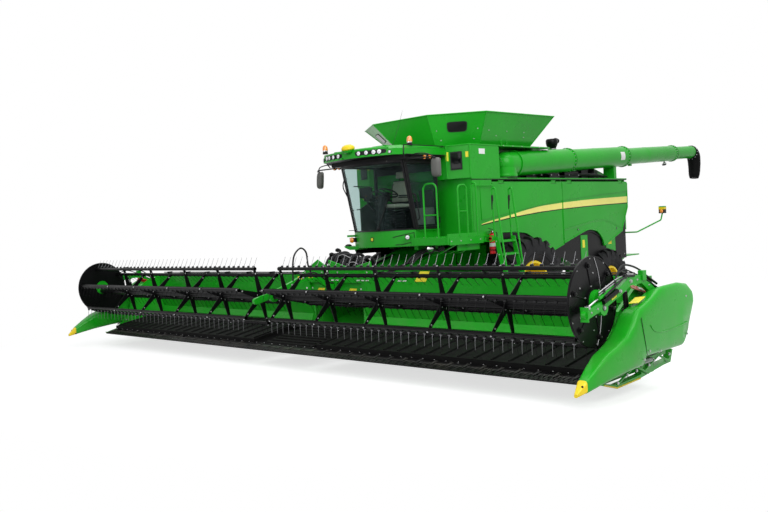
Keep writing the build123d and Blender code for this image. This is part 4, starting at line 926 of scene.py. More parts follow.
def arm_fittings():
    """Fore-aft cylinders, end plates, hose runs, double slide rods, labels and bolts on the reel arms."""
    piece = Piece("green")
    over = ARM_Y + 0.012
    for side in piece.both():
        piece.use("green")
        piece.plate("x", 5.7, 0.014, rectangle(ARM_Y - side * 0.055, ARM_Y + side * 0.055, 1.13, 1.31))
        piece.tube([(5.4, over, 1.385), (5.0, over, 1.5)], 0.03, 12)
        piece.use("chrome").tube([(5.66, over, 1.3), (5.4, over, 1.385)], 0.014, 10)
        piece.use("steel").tube([(5.655, over - 0.03, 1.3), (5.655, over + 0.03, 1.3)], 0.022, 10)
        for lift in (0.0, 0.03):
            piece.hose([(5.42, 6.585, 1.43 + lift), (5.1, 6.59, 1.53 + lift), (4.85, 6.575, 1.58 + lift),
                        (4.65, 6.56, 1.605)], 0.008)
        piece.use("plastic")
        for x, z in ((5.3, 1.47), (5.02, 1.555), (4.75, 1.6)):
            piece.block((x - 0.02, x + 0.02), (6.565, 6.6), (z - 0.02, z + 0.03))
        piece.use("hose")
        for radius, *points in ARM_HOSES:
            piece.hose(points, radius)
        piece.use("black")
        for lift in (0.02, 0.075):
            piece.tube([(4.26, 6.57, 1.545 + lift), (3.86, 6.57, 1.365 + lift)], 0.017, 10)
        piece.use("green").block((4.2, 4.3), (6.53, 6.6), (1.52, 1.65))
        piece.use("steel")
        for size, *places in ARM_BOLTS:
            piece.bolts([(x, 6.58, z) for x, z in places], OUT, size)
        label = ((4.98, 1.37), (5.1, 1.335), (5.1, 1.375), (4.98, 1.41))
        piece.use("label_yellow").plate("y", 6.581, 0.003, label)
        piece.use("black").tube([(5.34, 6.592, 1.335), (4.98, 6.592, 1.44)], 0.034, 12)
        piece.use("hose").hose([(5.3, 6.6, 1.4), (5.0, 6.6, 1.52), (4.75, 6.59, 1.6), (4.5, 6.585, 1.6)],
                               0.014)
    piece.hose([(4.82, 0.0, 1.48), (4.82, 0.02, 1.8), (4.76, 0.02, 1.99), (4.61, 0.02, 2.09),
                (4.47, 0.0, 2.0),
                (4.44, 0.0, 1.77), (4.36, 0.0, 1.58)], 0.016)
    piece.hose([(4.6, 0.035, 1.6), (4.3, 0.035, 1.61), (4.0, 0.035, 1.42), (3.85, 0.035, 1.38)], 0.012)
    piece.use("steel")
    for _ in piece.both():
        piece.bolts([(x, 0.03, z) for x, z in ((4.6, 1.535), (4.28, 1.54), (4.87, 1.43), (5.3, 1.3))], OUT,
                    0.018)
    piece.use("label_yellow")
    for x, z in ((4.42, 1.56), (4.68, 1.545)):
        piece.plate("y", 0.031, 0.003, rectangle(x - 0.05, x + 0.05, z - 0.03, z + 0.03))
    piece.done("reel_arm_fittings", "reel_arms", "green_paint")


BRACKET = (
    # y, z of the two frames over the middle of the header
    ((-1.0, 1.53), (-0.46, 1.82), (-0.24, 1.7), (-0.24, 1.53)),
    ((-0.14, 1.53), (-0.14, 1.81), (0.45, 1.65), (1.0, 1.77), (1.03, 1.53)),
)
HOSE_PLATE = ((-0.44, 1.5), (0.62, 1.5), (0.58, 1.76), (0.3, 1.84), (-0.12, 1.9), (-0.42, 1.88))


def centre_bracket():
    """Triangular green frames over the middle of the header that carry the centre arm."""
    piece = Piece("green")
    for outline in BRACKET:
        piece.plate("x", 3.78, 0.02, outline)
        piece.tube([(3.79, y, z) for y, z in outline], 0.014, 8)
    piece.use("steel").bolts([(3.8, y, 1.58) for y in (-0.85, -0.35, 0.1, 0.9)], AHEAD, 0.014)
    piece.use("hose")
    for k in range(8):
        y, lift = -0.42 + 0.13 * k, 0.03 * (k % 3) - 0.012 * k
        piece.hose([(3.66, y - 0.02, 1.56), (3.56, y, 1.8 + lift), (3.4, y + 0.03, 1.9 + lift),
                    (3.24, y + 0.05, 1.82 + lift), (3.2, y + 0.05, 1.5)], 0.03)
    for k in range(5):
        piece.hose([(3.5, -0.46 + 0.03 * k, 1.6 + 0.04 * k), (3.46, -0.2, 1.68 + 0.055 * k),
                    (3.46, 0.25, 1.7 + 0.045 * k), (3.5, 0.62, 1.6 + 0.03 * k)], 0.024)
    piece.use("black").plate("x", 3.3, 0.03, HOSE_PLATE)
    for x, y, z0, z1 in ((3.36, -0.48, 1.6, 1.86), (3.5, -0.3, 1.6, 1.76), (3.44, 0.34, 1.54, 1.7)):
        piece.block((x, x + 0.12), (y, y + 0.16), (z0, z1))
    for x, y, z in ((3.5, -0.37, 1.91), (3.34, -0.36, 1.985)):
        piece.disc((x, y - 0.05, z), OUT, 16, 0.012, (0.012, 0.034), (0.05, 0.042), (0.09, 0.034),
                   (0.1, 0.012))
        piece.hose([(x, y + 0.02, z), (x + 0.01, y + 0.08, z - 0.03), (x + 0.03, y + 0.11, z - 0.24)], 0.028)
    piece.use("steel")
    for k in range(4):
        piece.disc((3.6, -0.36 + 0.26 * k, 1.72 - 0.02 * k), (0.3, 0, -0.7), 8, 0.034, (0.04, 0.034))
    piece.hose([(3.54, -0.2, 1.86), (3.54, 0.0, 1.9), (3.54, 0.2, 1.84)], 0.009, 6)
    piece.hose([(3.6, 0.15, 1.72), (3.6, 0.35, 1.76), (3.6, 0.5, 1.7)], 0.009, 6)
    piece.use("label_yellow").plate("x", 3.803, 0.003, ((2.08, 1.42), (2.34, 1.42), (2.44, 1.6), (2.22, 1.6)))
    piece.done("centre_frame", "header", "green_paint")


END_BOLTS = ((3.7, 1.45), (3.7, 1.1), (3.7, 0.6), (3.95, 1.46), (4.5, 1.15), (4.58, 0.9), (4.75, 0.52),
             (4.95, 0.33))


def cylinder_details():
    """Glands of the lift cylinders; reflectors, bolts and hoses on the header's end sheets."""
    piece = Piece("steel")
    for _ in piece.both():
        piece.turned((1.745, 0.6, 0.74), (0.989, 0, -0.148), [(-0.05, 0.062), (0.0, 0.062), (0.01, 0.05),
                                                              (0.012, 0.036)],
                     20)
    piece.done("lift_cylinder_glands", "lift_barrels", "black_paint")
    ends = Piece("red")
    for _ in ends.both():
        red = [(4.36, 6.41, 1.475), (3.84, 6.41, 1.345), (3.84, 6.47, 1.285), (4.36, 6.47, 1.415)]
        white = [(4.15, 6.43, 1.412), (4.02, 6.43, 1.379), (4.02, 6.46, 1.349), (4.15, 6.46, 1.382)]
        ends.use("red").slab(red, (0, 0.006, 0.008))
        ends.use("white_mark_and_highlight").slab(white, (0, 0.008, 0.01))
        ends.use("steel")
        for x, z in END_BOLTS:
            ends.bolts([(x, 6.4, z)], OUT, 0.014).bolts([(x, 6.35, z)], IN, 0.014)
        ends.use("hose").hose([(3.8, 6.43, 1.5), (4.0, 6.47, 1.3), (4.3, 6.5, 1.05), (4.45, 6.5, 0.92)],
                              0.011)
    ends.done("header_end_details", "header", "green_paint")


# ---- cab ----------------------------------------------------------------------------------------

ROOF_ARC = (1.047, 2.203)     # centre x and radius of the roof's front
SKIRT_TOP = 2.312             # heights of the cab's parts
GUTTER_TOP = 3.762
SCREEN_TOP = 3.64
ROOF_TOP = 3.948


def split_node(name, above, height):
    """Gives the faces of a node above height a second material."""
    mesh = nodes[name].data
    mesh.materials.append(M[above])
    for face in mesh.polygons:
        if face.center.z > height:
            face.material_index = 1


def roof_front(y, z, out=0.0):
    """A point on the curved front of the roof, out from its surface."""
    centre, radius = ROOF_ARC
    return Vector((centre + math.sqrt((radius + out) ** 2 - y * y), y, z))


def roof_out(y):
    return (roof_front(y, 0) - Vector((ROOF_ARC[0], 0, 0))).normalized()


def roof_band(piece, first, last, low, high, out):
    """A raised band with round ends that follows the front of the roof."""
    rise = (high - low) / 2
    mid = (high + low) / 2
    rows = []
    for y in spread(first, last, 0.04):
        edge = min(abs(y - first), abs(y - last), rise)
        half = math.sqrt(max(rise * rise - (rise - edge) ** 2, 0.0004))
        rows += [roof_front(y, mid + way * half, lift) for way, lift in ((-1, -0.01), (-1, out), (1, out),
                                                                         (1, -0.01))]
    count = len(rows) // 4
    piece.add(rows, flipped(skin(4, count) + caps(4, count)))


def round_lamp(piece, at, out, radius, lens="white_lens"):
    """A work lamp: dark bezel, bright reflector, lens and its rim."""
    for finish, steps, profile in (
            ("plastic", 24, ((-0.01, 1.25), (0.016, 1.25), (0.024, 1.12), (0.018, 1.0))),
            ("chrome", 24, ((0.016, 0.98), (0.02, 0.98), (0.02, 0.9))),
            (lens, 24, ((0.016, 0.92), (0.026, 0.8), (0.03, 0.5), (0.031, 0.1))),
            ("steel", 12, ((0.03, 0.28), (0.034, 0.22)))):
        piece.use(finish).turned(at, out, [(h, radius * r) for h, r in profile], steps)


def roof_details():
    """Lamps in their bands round the roof's front, gutter strips and ribs on its top."""
    piece = Piece("plastic")
    for side in (1, -1):
        piece.use("plastic")
        roof_band(piece, side * 0.19, side * 0.86, 3.79, 3.885, 0.008)
        piece.use("green")
        roof_band(piece, side * 0.17, side * 0.9, 3.888, 3.904, 0.016)
        roof_band(piece, side * 0.17, side * 0.96, 3.768, 3.786, 0.014)
        for y in (0.287, 0.463, 0.623, 0.737):
            round_lamp(piece, roof_front(side * y, 3.836, 0.006), roof_out(side * y), 0.043)
        round_lamp(piece, roof_front(side * 0.93, 3.815, 0.004), roof_out(side * 0.93), 0.026)
    piece.use("plastic")
    for _ in piece.both():
        piece.plate("y", 1.06, 0.035, rectangle(1.65, 2.8, 3.935, 3.95))
        piece.block((1.64, 2.8), (1.098, 1.112), (3.755, 3.77))
    piece.use("green")
    for y in (-0.55, 0.0, 0.55):
        piece.plate("z", 3.95, 0.018, ((1.75, y - 0.22), (2.95, y - 0.18), (2.95, y + 0.18),
                                       (1.75, y + 0.22)))
    piece.done("cab_roof_details", "chassis", "black_plastic", bevel=0.004)


def beacon(piece, at):
    piece.use("plastic").disc(at, UP, 24, 0.055, (0.025, 0.055), (0.03, 0.05), (0.05, 0.05), (0.055, 0.046))
    piece.use("chrome").turned(at, UP, [(0.055, 0.05), (0.075, 0.05)], 24)
    lens = [(0.072, 0.056), (0.122, 0.054), (0.157, 0.045), (0.177, 0.028), (0.184, 0.006)]
    piece.use("amber").turned(at, UP, lens, 24)


def roof_top_fittings():
    """Beacons, the satellite receiver, the radio aerial and the amber lamps at the roof's sides."""
    piece = Piece("amber")
    beacon(piece, (2.5, 0.95, ROOF_TOP))
    beacon(piece, (3.02, -0.92, ROOF_TOP))
    lean = (0.16, 0, 1)
    piece.use("yellow").disc((3.245, 0, 3.935), lean, 32, 0.125, (0.02, 0.135), (0.05, 0.13), (0.08, 0.105),
                             (0.1, 0.06),
                             (0.106, 0.01))
    piece.use("green").disc((3.245, 0, 3.86), lean, 32, 0.07, (0.03, 0.115), (0.075, 0.13))
    piece.slab([(2.9, -0.06, 3.93), (3.22, -0.1, 3.87), (3.22, 0.1, 3.87), (2.9, 0.06, 3.93)], (0, 0, 0.03))
    piece.use("hose").disc((2.606, 0.6, 3.95), UP, 12, 0.022, (0.03, 0.018), (0.05, 0.006))
    piece.tube([(2.606, 0.6, 3.99), (2.5, 0.6, 4.19), (2.39, 0.6, 4.42), (2.276, 0.6, 4.68)],
               [0.004, 0.0035, 0.003, 0.002], 6)
    for _ in piece.both():
        piece.use("plastic").tube([(2.4, 1.0, 3.7), (2.4, 1.2, 3.7), (2.36, 1.36, 3.69)], 0.016, 8)
        for y in (1.22, 1.36):
            piece.use("plastic").disc((2.34, y, 3.7), AHEAD, 16, 0.03, (0.03, 0.042), (0.05, 0.042))
            piece.use("amber").disc((2.39, y, 3.7), AHEAD, 16, 0.038, (0.012, 0.034), (0.018, 0.01))
    piece.done("roof_fittings", "chassis", "black_plastic")


MIRROR_Y, MIRROR_Z = 1.64, 3.4675
MIRROR_TALL = 0.182                # half height
# x, share of the housing's full outline
MIRROR_ROWS = ((2.53, 0.96), (2.534, 1.0), (2.57, 0.98), (2.597, 0.9), (2.613, 0.72), (2.619, 0.4))


def mirror_heads():
    """Rounded mirror housings with their glass, on bent arms; the right-hand one is slimmer and leans in."""
    piece = Piece("grey_plastic")
    halves = {1: 0.104, -1: 0.084}
    leans = {1: 0.0, -1: 0.11}
    for side in piece.both():
        half, lean = halves[side], leans[side]
        piece.use("grey_plastic").loft([[
            (x, MIRROR_Y + side * (half * k * c + lean * MIRROR_TALL * k * s), MIRROR_Z + MIRROR_TALL * k * s)
            for c, s in rounded(28, 0.5)] for x, k in MIRROR_ROWS])
        for low, high in ((3.31, 3.5), (3.515, 3.625)):
            glass_face = [(MIRROR_Y + side * (way * (half - 0.014) + lean * (z - MIRROR_Z)), z)
                          for way, z in rectangle(-1, 1, low, high)]
            piece.use("mirror").plate("x", 2.529, -0.003, glass_face)
        arm_z = 3.6657
        piece.use("plastic").hose([(2.7, 1.01, arm_z), (2.7, 1.5, arm_z), (2.6, 1.62, arm_z - 0.01),
                                   (2.565, MIRROR_Y, 3.58)], 0.014, 10)
    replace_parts(piece.done("mirror_heads", "chassis", "black_plastic", smooth=50), "mirrors")


def mirror_details():
    """Knuckles and cables of the mirrors, rails along the cab's right side, and roof aerials' leads."""
    piece = Piece("plastic")
    for _ in piece.both():
        piece.disc((2.6, MIRROR_Y, 3.64), UP, 16, 0.03, (0.02, 0.03), (0.025, 0.02))
        piece.hose([(2.62, 1.02, 3.72), (2.66, 1.25, 3.76), (2.66, 1.5, 3.735), (2.61, 1.62, 3.68)], 0.011)
    rail = [(2.5, -0.88, 3.45), (2.56, -0.91, 3.38), (2.57, -0.92, 3.25), (2.51, -0.87, 3.06),
            (2.44, -0.83, 2.8),
            (2.36, -0.86, 2.78)]
    piece.use("hose").tube(curve(rail, 8), 0.012, 8)
    for _ in piece.both():
        piece.hose([(2.78, 1.06, 3.68), (2.84, 1.09, 3.78), (2.82, 1.08, 3.94)], 0.012)
    piece.tube([(2.25, -0.93, 3.283), (1.78, -0.93, 3.283), (1.95, -0.93, 2.6)], 0.012, 8)
    piece.tube([(2.2, -0.93, 2.79), (1.9, -0.93, 2.79)], 0.011, 8)
    piece.done("mirror_details", "chassis", "black_plastic")


def cab_face(share, z):
    """The left edge of the windscreen at height z, share of the way to its middle."""
    top = (z - SKIRT_TOP) / (SCREEN_TOP - SKIRT_TOP)
    nose, edge = 2.62 + 0.29 * top, 2.36 + 0.27 * top
    return Vector((edge + (nose - edge) * (1 - (1 - share) ** 2), 0.815 * (1 - share), z))


def cab_front_details():
    """Windscreen seal, wiper, grab bars, the lamps in the skirt, seams and the step under it."""
    piece = Piece("hose")
    for z in (SKIRT_TOP + 0.012, 3.63):
        line = [cab_face(s / 8, z) + Vector((0.012, 0, 0)) for s in range(9)]
        piece.tube(line + [Vector((p.x, -p.y, p.z)) for p in reversed(line[:-1])], 0.014, 8)
    pivot = cab_face(0.85, SKIRT_TOP + 0.05) + Vector((0.03, 0, 0))
    tip = cab_face(0.4, 2.95) + Vector((0.035, 0, 0))
    piece.use("plastic").disc(pivot - Vector((0.02, 0, 0)), AHEAD, 16, 0.03, (0.03, 0.03), (0.045, 0.018))
    piece.tube([pivot, pivot * 0.4 + tip * 0.6, tip], [0.012, 0.009, 0.007], 6)
    blade = [tip + (pivot - tip).normalized() * d + Vector((-0.008, 0, 0)) for d in (-0.32, -0.1, 0.1, 0.32)]
    piece.use("hose").tube(blade, 0.008, 6)
    piece.use("green")
    for _ in piece.both():
        for z in (2.06, 2.29):
            piece.tube([(1.66, 0.905, z), (2.25, 0.9, z), (2.36, 0.84, z)], 0.008, 6)
    out = Vector((0.7, 0.72, 0)).normalized()
    round_lamp(piece, Vector((2.5, 0.76, 2.17)) + out * 0.03, out, 0.04)
    piece.use("plastic").block((2.4, 2.49), (-0.9, -0.74), (2.11, 2.2))
    piece.use("amber").disc((2.48, -0.835, 2.153), AHEAD, 20, 0.058, (0.02, 0.056), (0.035, 0.036),
                            (0.04, 0.006))
    step = ((-1.07, 2.03), (-1.04, 1.995), (-0.9, 1.95), (-0.7, 1.95), (-0.59, 2.0), (-0.6, 2.02))
    piece.use("green").plate("x", 2.5, -0.3, step).block((2.4, 2.5), (-0.96, -0.78), (2.22, 2.262))
    piece.use("plastic").block((2.4, 2.5), (-0.9, -0.76), (2.35, 2.362))
    piece.disc((2.4, -1.04, 2.02), UP, 16, 0.075, (0.03, 0.068), (0.05, 0.03))
    badge_way = (1, -0.06, 0)
    piece.disc((2.612, -0.1, 2.154), badge_way, 24, 0.05, (0.01, 0.048))
    piece.use("label_yellow").disc((2.62, -0.1, 2.154), badge_way, 24, 0.034, (0.005, 0.032))
    seam = [(2.565, 0.43, 2.179), (2.498, 0.625, 2.215), (2.384, 0.841, 2.257), (2.384, 0.841, 2.08),
            (2.504, 0.608, 2.03), (2.55, 0.48, 2.03)]
    piece.use("hose").tube(seam, 0.008, 6)
    piece.use("plastic").block((2.42, 2.5), (0.86, 0.98), (2.02, 2.06))
    piece.done("cab_front_details", "chassis", "black_plastic")


def door_details():
    """Rubber seal, pull handle, latch and grab bar of the cab door."""
    piece = Piece("hose")
    loop = [(x, 0.905, z) for x, z in ((1.7, 2.36), (2.32, 2.36), (2.45, 2.9), (2.58, 3.6), (1.7, 3.6),
                                       (1.7, 2.36))]
    piece.tube(loop, 0.012, 8)
    piece.use("plastic").hose([(1.76, 0.9, 2.62), (1.76, 0.945, 2.66), (1.76, 0.945, 2.86), (1.76, 0.9, 2.9)],
                              0.014)
    piece.disc((1.76, 0.905, 2.55), OUT, 16, 0.03, (0.012, 0.03), (0.016, 0.02))
    piece.use("steel").disc((1.76, 0.918, 2.55), OUT, 12, 0.013, (0.006, 0.012))
    piece.use("plastic").hose([(2.32, 0.9, 2.5), (2.33, 0.95, 2.56), (2.4, 0.95, 2.95), (2.43, 0.9, 3.02)],
                              0.012)
    piece.done("door_details", "cab_door", "black_plastic")


def steering_wheel(piece, hub, lean):
    """Column, rim, spokes and hub of the steering wheel."""
    column = curve([(2.44, 0, 2.33), (2.42, 0, 2.6), (2.34, 0, 2.86), hub - lean * 0.04])
    piece.tube(column, [0.075] * 12 + [0.06] * 6 + [0.04], 12)
    u, v = across(lean)
    middle_of_rim = hub + lean * 0.03
    rim = ring(middle_of_rim, 0.2, 32, u, v)
    piece.tube(rim + rim[:1], 0.016, 10)
    for a in (0.5, 2.6, 4.7):
        piece.tube([hub, middle_of_rim + (u * math.cos(a) + v * math.sin(a)) * 0.195], 0.013, 8)
    piece.disc(hub - lean * 0.02, lean, 20, 0.05, (0.03, 0.06), (0.05, 0.045), (0.055, 0.02))


def cab_inside():
    """What the glass shows: floor mat, steering column and wheel, monitor, armrest, side trim, headliner."""
    piece = Piece("plastic")
    piece.plate("z", 2.315, 0.012, ((1.7, -0.8), (2.3, -0.8), (2.55, -0.4), (2.55, 0.4), (2.3, 0.8),
                                    (1.7, 0.8)))
    for y in spread(-0.7, 0.7, 0.1):
        piece.block((1.75, 2.45), (y - 0.012, y + 0.012), (2.327, 2.335))
    trim = ((1.68, 2.33), (2.2, 2.33), (2.2, 2.8), (1.9, 2.95), (1.68, 3.0))
    piece.use("grey_plastic").plate("y", -0.84, 0.03, trim)
    piece.use("plastic")
    steering_wheel(piece, Vector((2.2, 0.0, 3.06)), Vector((-0.42, 0, 0.9)).normalized())
    for z, y in ((2.4, 0.16), (2.42, -0.16)):
        pedal = [(2.3, y - 0.05, z), (2.42, y - 0.05, z + 0.1), (2.42, y + 0.05, z + 0.1), (2.3, y + 0.05, z)]
        piece.slab(pedal, (-0.02, 0, 0.025))
    piece.block((2.27, 2.3), (-0.72, -0.42), (3.02, 3.24))
    piece.use("glass").block((2.266, 2.269), (-0.7, -0.44), (3.04, 3.22))
    piece.use("plastic").tube([(2.3, -0.56, 3.02), (2.25, -0.5, 2.86), (2.1, -0.46, 2.72)], 0.018, 8)
    piece.use("amber").disc((2.3, -0.5, 3.06), AHEAD, 12, 0.02, (0.03, 0.02), (0.035, 0.012))
    piece.disc((2.12, -0.42, 3.0), (0.2, 0, 1), 12, 0.028, (0.03, 0.032), (0.05, 0.02))
    piece.use("seat_dark").plate("z", 2.93, 0.06, rectangle(1.75, 2.16, -0.36, -0.48))
    piece.use("grey_plastic").plate("z", 2.4, 0.34, rectangle(1.69, 1.95, 0.45, 0.8))
    piece.plate("z", 3.66, 0.02, ((1.66, -0.78), (2.8, -0.6), (2.8, 0.6), (1.66, 0.78)))
    back = [(1.7, 0.45, 2.75), (1.76, 0.45, 3.1), (1.76, 0.8, 3.1), (1.7, 0.8, 2.75)]
    piece.use("seat_dark").slab(back, (-0.05, 0, 0))
    piece.use("label_yellow").plate("y", -0.838, 0.004, rectangle(2.0, 2.1, 3.0, 3.2))
    piece.done("cab_inside", "chassis", "black_plastic", bevel=0.006)


# ---- wheels -------------------------------------------------------------------------------------

TYRES = (
    # node's name, half width, outer radius, rim radius, lugs each side, height of a lug
    ("front_tyre", 0.4, 1.02, 0.505, 22, 0.055),
    ("rear_tyre", 0.295, 0.785, 0.37, 20, 0.048),
)
CARCASS = (
    # share of the half width, share of the way from the rim to the foot of the lugs
    (0.70, 0.00), (0.78, 0.05), (0.93, 0.25), (0.99, 0.5), (0.97, 0.72), (0.9, 0.9), (0.78, 0.975),
           (0.45, 0.995), (0, 1.0),
)
LUG_STEPS = (0.0, 0.25, 0.5, 0.75, 0.92, 1.0)    # shares of the way from the tread's middle to its shoulder
LUG_LEAN = 6.138                                 # how far round a lug turns on that way, times the lugs


def carcass_radius(share, rim, foot):
    """Radius of the tyre's skin at a share of the half width, on the tread side."""
    points = [(s, rim + (foot - rim) * t) for s, t in CARCASS if t >= 0.5]
    for (s0, r0), (s1, r1) in zip(points, points[1:]):
        if s1 <= share <= s0:
            return r0 + (r1 - r0) * (s0 - share) / max(s0 - s1, 1e-6)
    return points[0][1]


def lug_points(kind, centre, first, way):
    """Four points at each step of one lug, which starts at the angle first and leans back to the shoulder."""
    _, half, outer, rim, lugs, lug = kind
    points = []
    for t in LUG_STEPS:
        share = -0.03 + 1.02 * t
        base = carcass_radius(min(abs(share), 0.97), rim, outer - lug) - 0.012
        top = outer - 0.02 * t * t - (0.05 * (t - 0.9) / 0.1 if t > 0.9 else 0)
        around = first - LUG_LEAN / lugs * t ** 0.9
        width = (0.03 + 0.016 * t) / outer
        for wide, r in ((-1.25, base), (-1, top), (1, top), (1.25, base)):
            a = around + width * wide
            points.append(centre + Vector((r * math.cos(a), way * half * share, r * math.sin(a))))
    return points


def make_tyre(node, kind):
    """Carcass, side wall beads and lugs of one tyre."""
    _, half, outer, rim, lugs, lug = kind
    low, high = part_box(node)
    centre = (low + high) / 2 - AXLE
    deep = outer - lug - rim
    piece = Piece("tyre")
    profile = [(half * s, rim + deep * t) for s, t in CARCASS]
    profile += [(-s, r) for s, r in reversed(profile[:-1])]
    profile += [(-half * 0.62, rim + 0.02), (half * 0.62, rim + 0.02)]
    piece.turned(centre, OUT, profile, 72, closed=True)
    for r in (rim + deep * 0.3, rim + deep * 0.42):
        for way in (1, -1):
            bead = ((0.955, 0), (0.985, 0.008), (0.955, 0.016), (0.94, 0.008))
            piece.turned(centre, OUT, [(way * half * s, r + up) for s, up in bead], 72, closed=True)
    for way in (1, -1):
        faces = skin(4, len(LUG_STEPS)) + caps(4, len(LUG_STEPS))
        for k in range(lugs):
            first = math.tau * (k + (0.5 if way < 0 else 0)) / lugs
            piece.add(lug_points(kind, centre, first, way), faces if way > 0 else flipped(faces))
    body = node.replace("_tyre_", "_wheel_")
    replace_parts(piece.done(f"{node}_lugged", body, "tyre", smooth=40), node)


def rim_details(node, side, kind):
    """Rim flange, wheel nuts, hub cap and valve."""
    _, half, _, rim, _, _ = kind
    low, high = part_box(node)
    centre = (low + high) / 2 - AXLE
    out = Vector((0, side, 0))
    face = centre + out * ((high.y - low.y) / 2)
    nuts, circle = (10, 0.19) if rim > 0.45 else (8, 0.15)
    piece = Piece("yellow")
    flange = [(0, 0.006), (0.012, 0.006), (0.016, -0.004), (0.01, -0.02), (-0.02, -0.03), (-0.03, -0.01)]
    piece.turned(centre + out * (half * 0.72), out, [(h, rim + r) for h, r in flange], 64, closed=True)
    piece.use("steel").bolts(ring(face - out * 0.004, circle, nuts), out, 0.02)
    cap = [(-0.02, circle * 0.55), (0.004, circle * 0.55), (0.01, circle * 0.45), (0.012, 0.01)]
    piece.use("black").turned(face, out, cap, 32)
    valve = centre + out * (half * 0.6) + Vector((rim - 0.06, 0, 0))
    piece.use("steel").tube([valve, valve + out * 0.05 - Vector((0.02, 0, 0))], 0.006)
    piece.done(f"{node}_details", node.replace("_rim_", "_wheel_"), "yellow_paint")


def make_wheels():
    for kind in TYRES:
        for name, side in SIDES:
            make_tyre(f"{kind[0]}_{name}", kind)
            rim_details(f"{kind[0].replace('tyre', 'rim')}_{name}", side, kind)


# ---- body panels --------------------------------------------------------------------------------

SKIN = 1.6                    # how far the side panels stand from the middle
PANEL_TOP = 3.16
PANELS = (
    # body it rides on ({} is left or right), rear x, front x
    ("chassis", 0.812, 1.2), ("side_door_front_{}", -1.798, 0.798), ("side_door_rear_{}", -4.797, -1.812),
)
STRIPE = (
    # x, lower edge z, upper edge z of the yellow stripe
    (1.2, 2.339, 2.350), (0.9, 2.374, 2.405), (0.266, 2.447, 2.493), (-0.3, 2.496, 2.585),
          (-0.89, 2.542, 2.662),
    (-1.785, 2.589, 2.724), (-2.74, 2.624, 2.769), (-3.7, 2.651, 2.802), (-4.797, 2.674, 2.829),
)
# X-Z lines: pressed crease, the rear door's low corner, its fold, the lower edges and rear seam of the doors
CREASE = ((1.2, 2.43), (-0.145, 2.601), (-0.9, 2.69), (-1.83, 2.776), (-3.2, 2.875), (-4.797, 2.962))
LOW_REAR = ((-3.2, 2.06), (-3.4, 1.94), (-3.52, 1.81), (-3.565, 1.66), (-3.86, 1.765), (-4.47, 1.985),
            (-4.3, 2.08),
            (-3.4, 2.15))
FOLD = ((-1.812, 2.13), (-2.671, 2.225), (-3.1, 2.285), (-3.514, 2.309), (-4.0, 2.21), (-4.538, 2.019))
FRONT_EDGE = ((0.798, 2.16), (0.36, 2.155), (0.05, 2.155), (-0.35, 2.104), (-0.57, 2.007), (-0.9, 1.722),
              (-1.33, 1.664), (-1.798, 1.79))
REAR_EDGE = ((-1.812, 1.815), (-2.6, 2.022), (-2.9, 2.077), (-3.26, 2.032), (-3.58, 1.852), (-4.44, 1.962))
REAR_SEAM = ((-4.44, 1.962), (-4.785, 2.56), (-4.793, 2.9), (-4.793, PANEL_TOP))


def at_x(rows, x):
    """The rows' other columns at x, with the rows going from the front back."""
    for a, b in zip(rows, rows[1:]):
        if b[0] <= x <= a[0]:
            t = (a[0] - x) / (a[0] - b[0])
            return [p + (q - p) * t for p, q in zip(a[1:], b[1:])]
    return list(rows[0][1:] if x > rows[0][0] else rows[-1][1:])


def height(rows, shift=0.0, column=0):
    """The height as a function of x that a column of the rows gives."""
    return lambda x: at_x(rows, x)[column] + shift


def strip(piece, xs, low, high, out_low, out_high):
    """A strip on a side panel from height low(x) to high(x), standing out by the two amounts."""
    inner = SKIN - 0.004
    piece.loft([[(x, inner, low(x)), (x, SKIN + out_low, low(x)), (x, SKIN + out_high, high(x)),
                 (x, inner, high(x))]
                for x in xs])


def on_skin(outline, out):
    """X-Z places on a side panel, out from it."""
    return [(x, SKIN + out, z) for x, z in outline]


def side_panel(body, name, x0, x1, side):
    """Pressed upper part, crease, stripe and edge lips of one side panel."""
    piece = Piece("green", side)
    opens, rear = body != "chassis", "rear" in body
    edge = height(REAR_EDGE if rear else FRONT_EDGE)
    top = 3.17 if opens else 3.24
    xs = list(reversed(spread(x0, x1, 0.2)))
    strip(piece, xs, height(CREASE), lambda x: top, 0.016, 0.003)
    piece.use("stripe")
    strip(piece, xs, height(STRIPE), height(STRIPE, column=1), 0.0035, 0.0035)
    piece.use("black")
    strip(piece, xs, height(STRIPE, -0.02), height(STRIPE, -0.002), 0.003, 0.003)
    piece.use("green")
    if rear:
        strip(piece, [x for x in xs if x > -4.5] + [-4.5], height(FOLD, -0.05), height(FOLD), 0.001, 0.013)
        piece.plate("y", SKIN - 0.03, 0.033, LOW_REAR)
        piece.tube(curve(on_skin(REAR_EDGE[:4], 0.004)) + on_skin(LOW_REAR[1:6], 0.004), 0.016)
        piece.tube(on_skin(REAR_SEAM, 0.004), 0.012)
    elif opens:
        piece.tube(on_skin(FRONT_EDGE, 0.002), 0.012)
    if opens:
        for x in (x0 + 0.008, x1 - 0.008):
            if x > -4.7:
                piece.tube(on_skin(((x, edge(x) + 0.01), (x, PANEL_TOP)), 0.001), 0.008, 6)
        piece.use("plastic")
        for x in (x0 + 0.32, x1 - 0.32):
            piece.block((x - 0.1, x + 0.1), (SKIN - 0.01, SKIN + 0.006), (3.155, 3.162))
        for x in (x0 + 0.6, x1 - 0.6):
            low = edge(x) + 0.12
            piece.use("plastic").disc((x, SKIN, low), OUT, 16, 0.026, (0.006, 0.026), (0.01, 0.018))
            piece.use("steel").disc((x, SKIN + 0.01, low), OUT, 6, 0.011, (0.003, 0.01))
    piece.done(name, body, "green_paint", smooth=50)


def side_panels():
    for word, side in SIDES:
        for body, x0, x1 in PANELS:
            body = body.format(word)
            side_panel(body, f"panel_{body}_{word}" if body == "chassis" else f"panel_{body}", x0, x1, side)


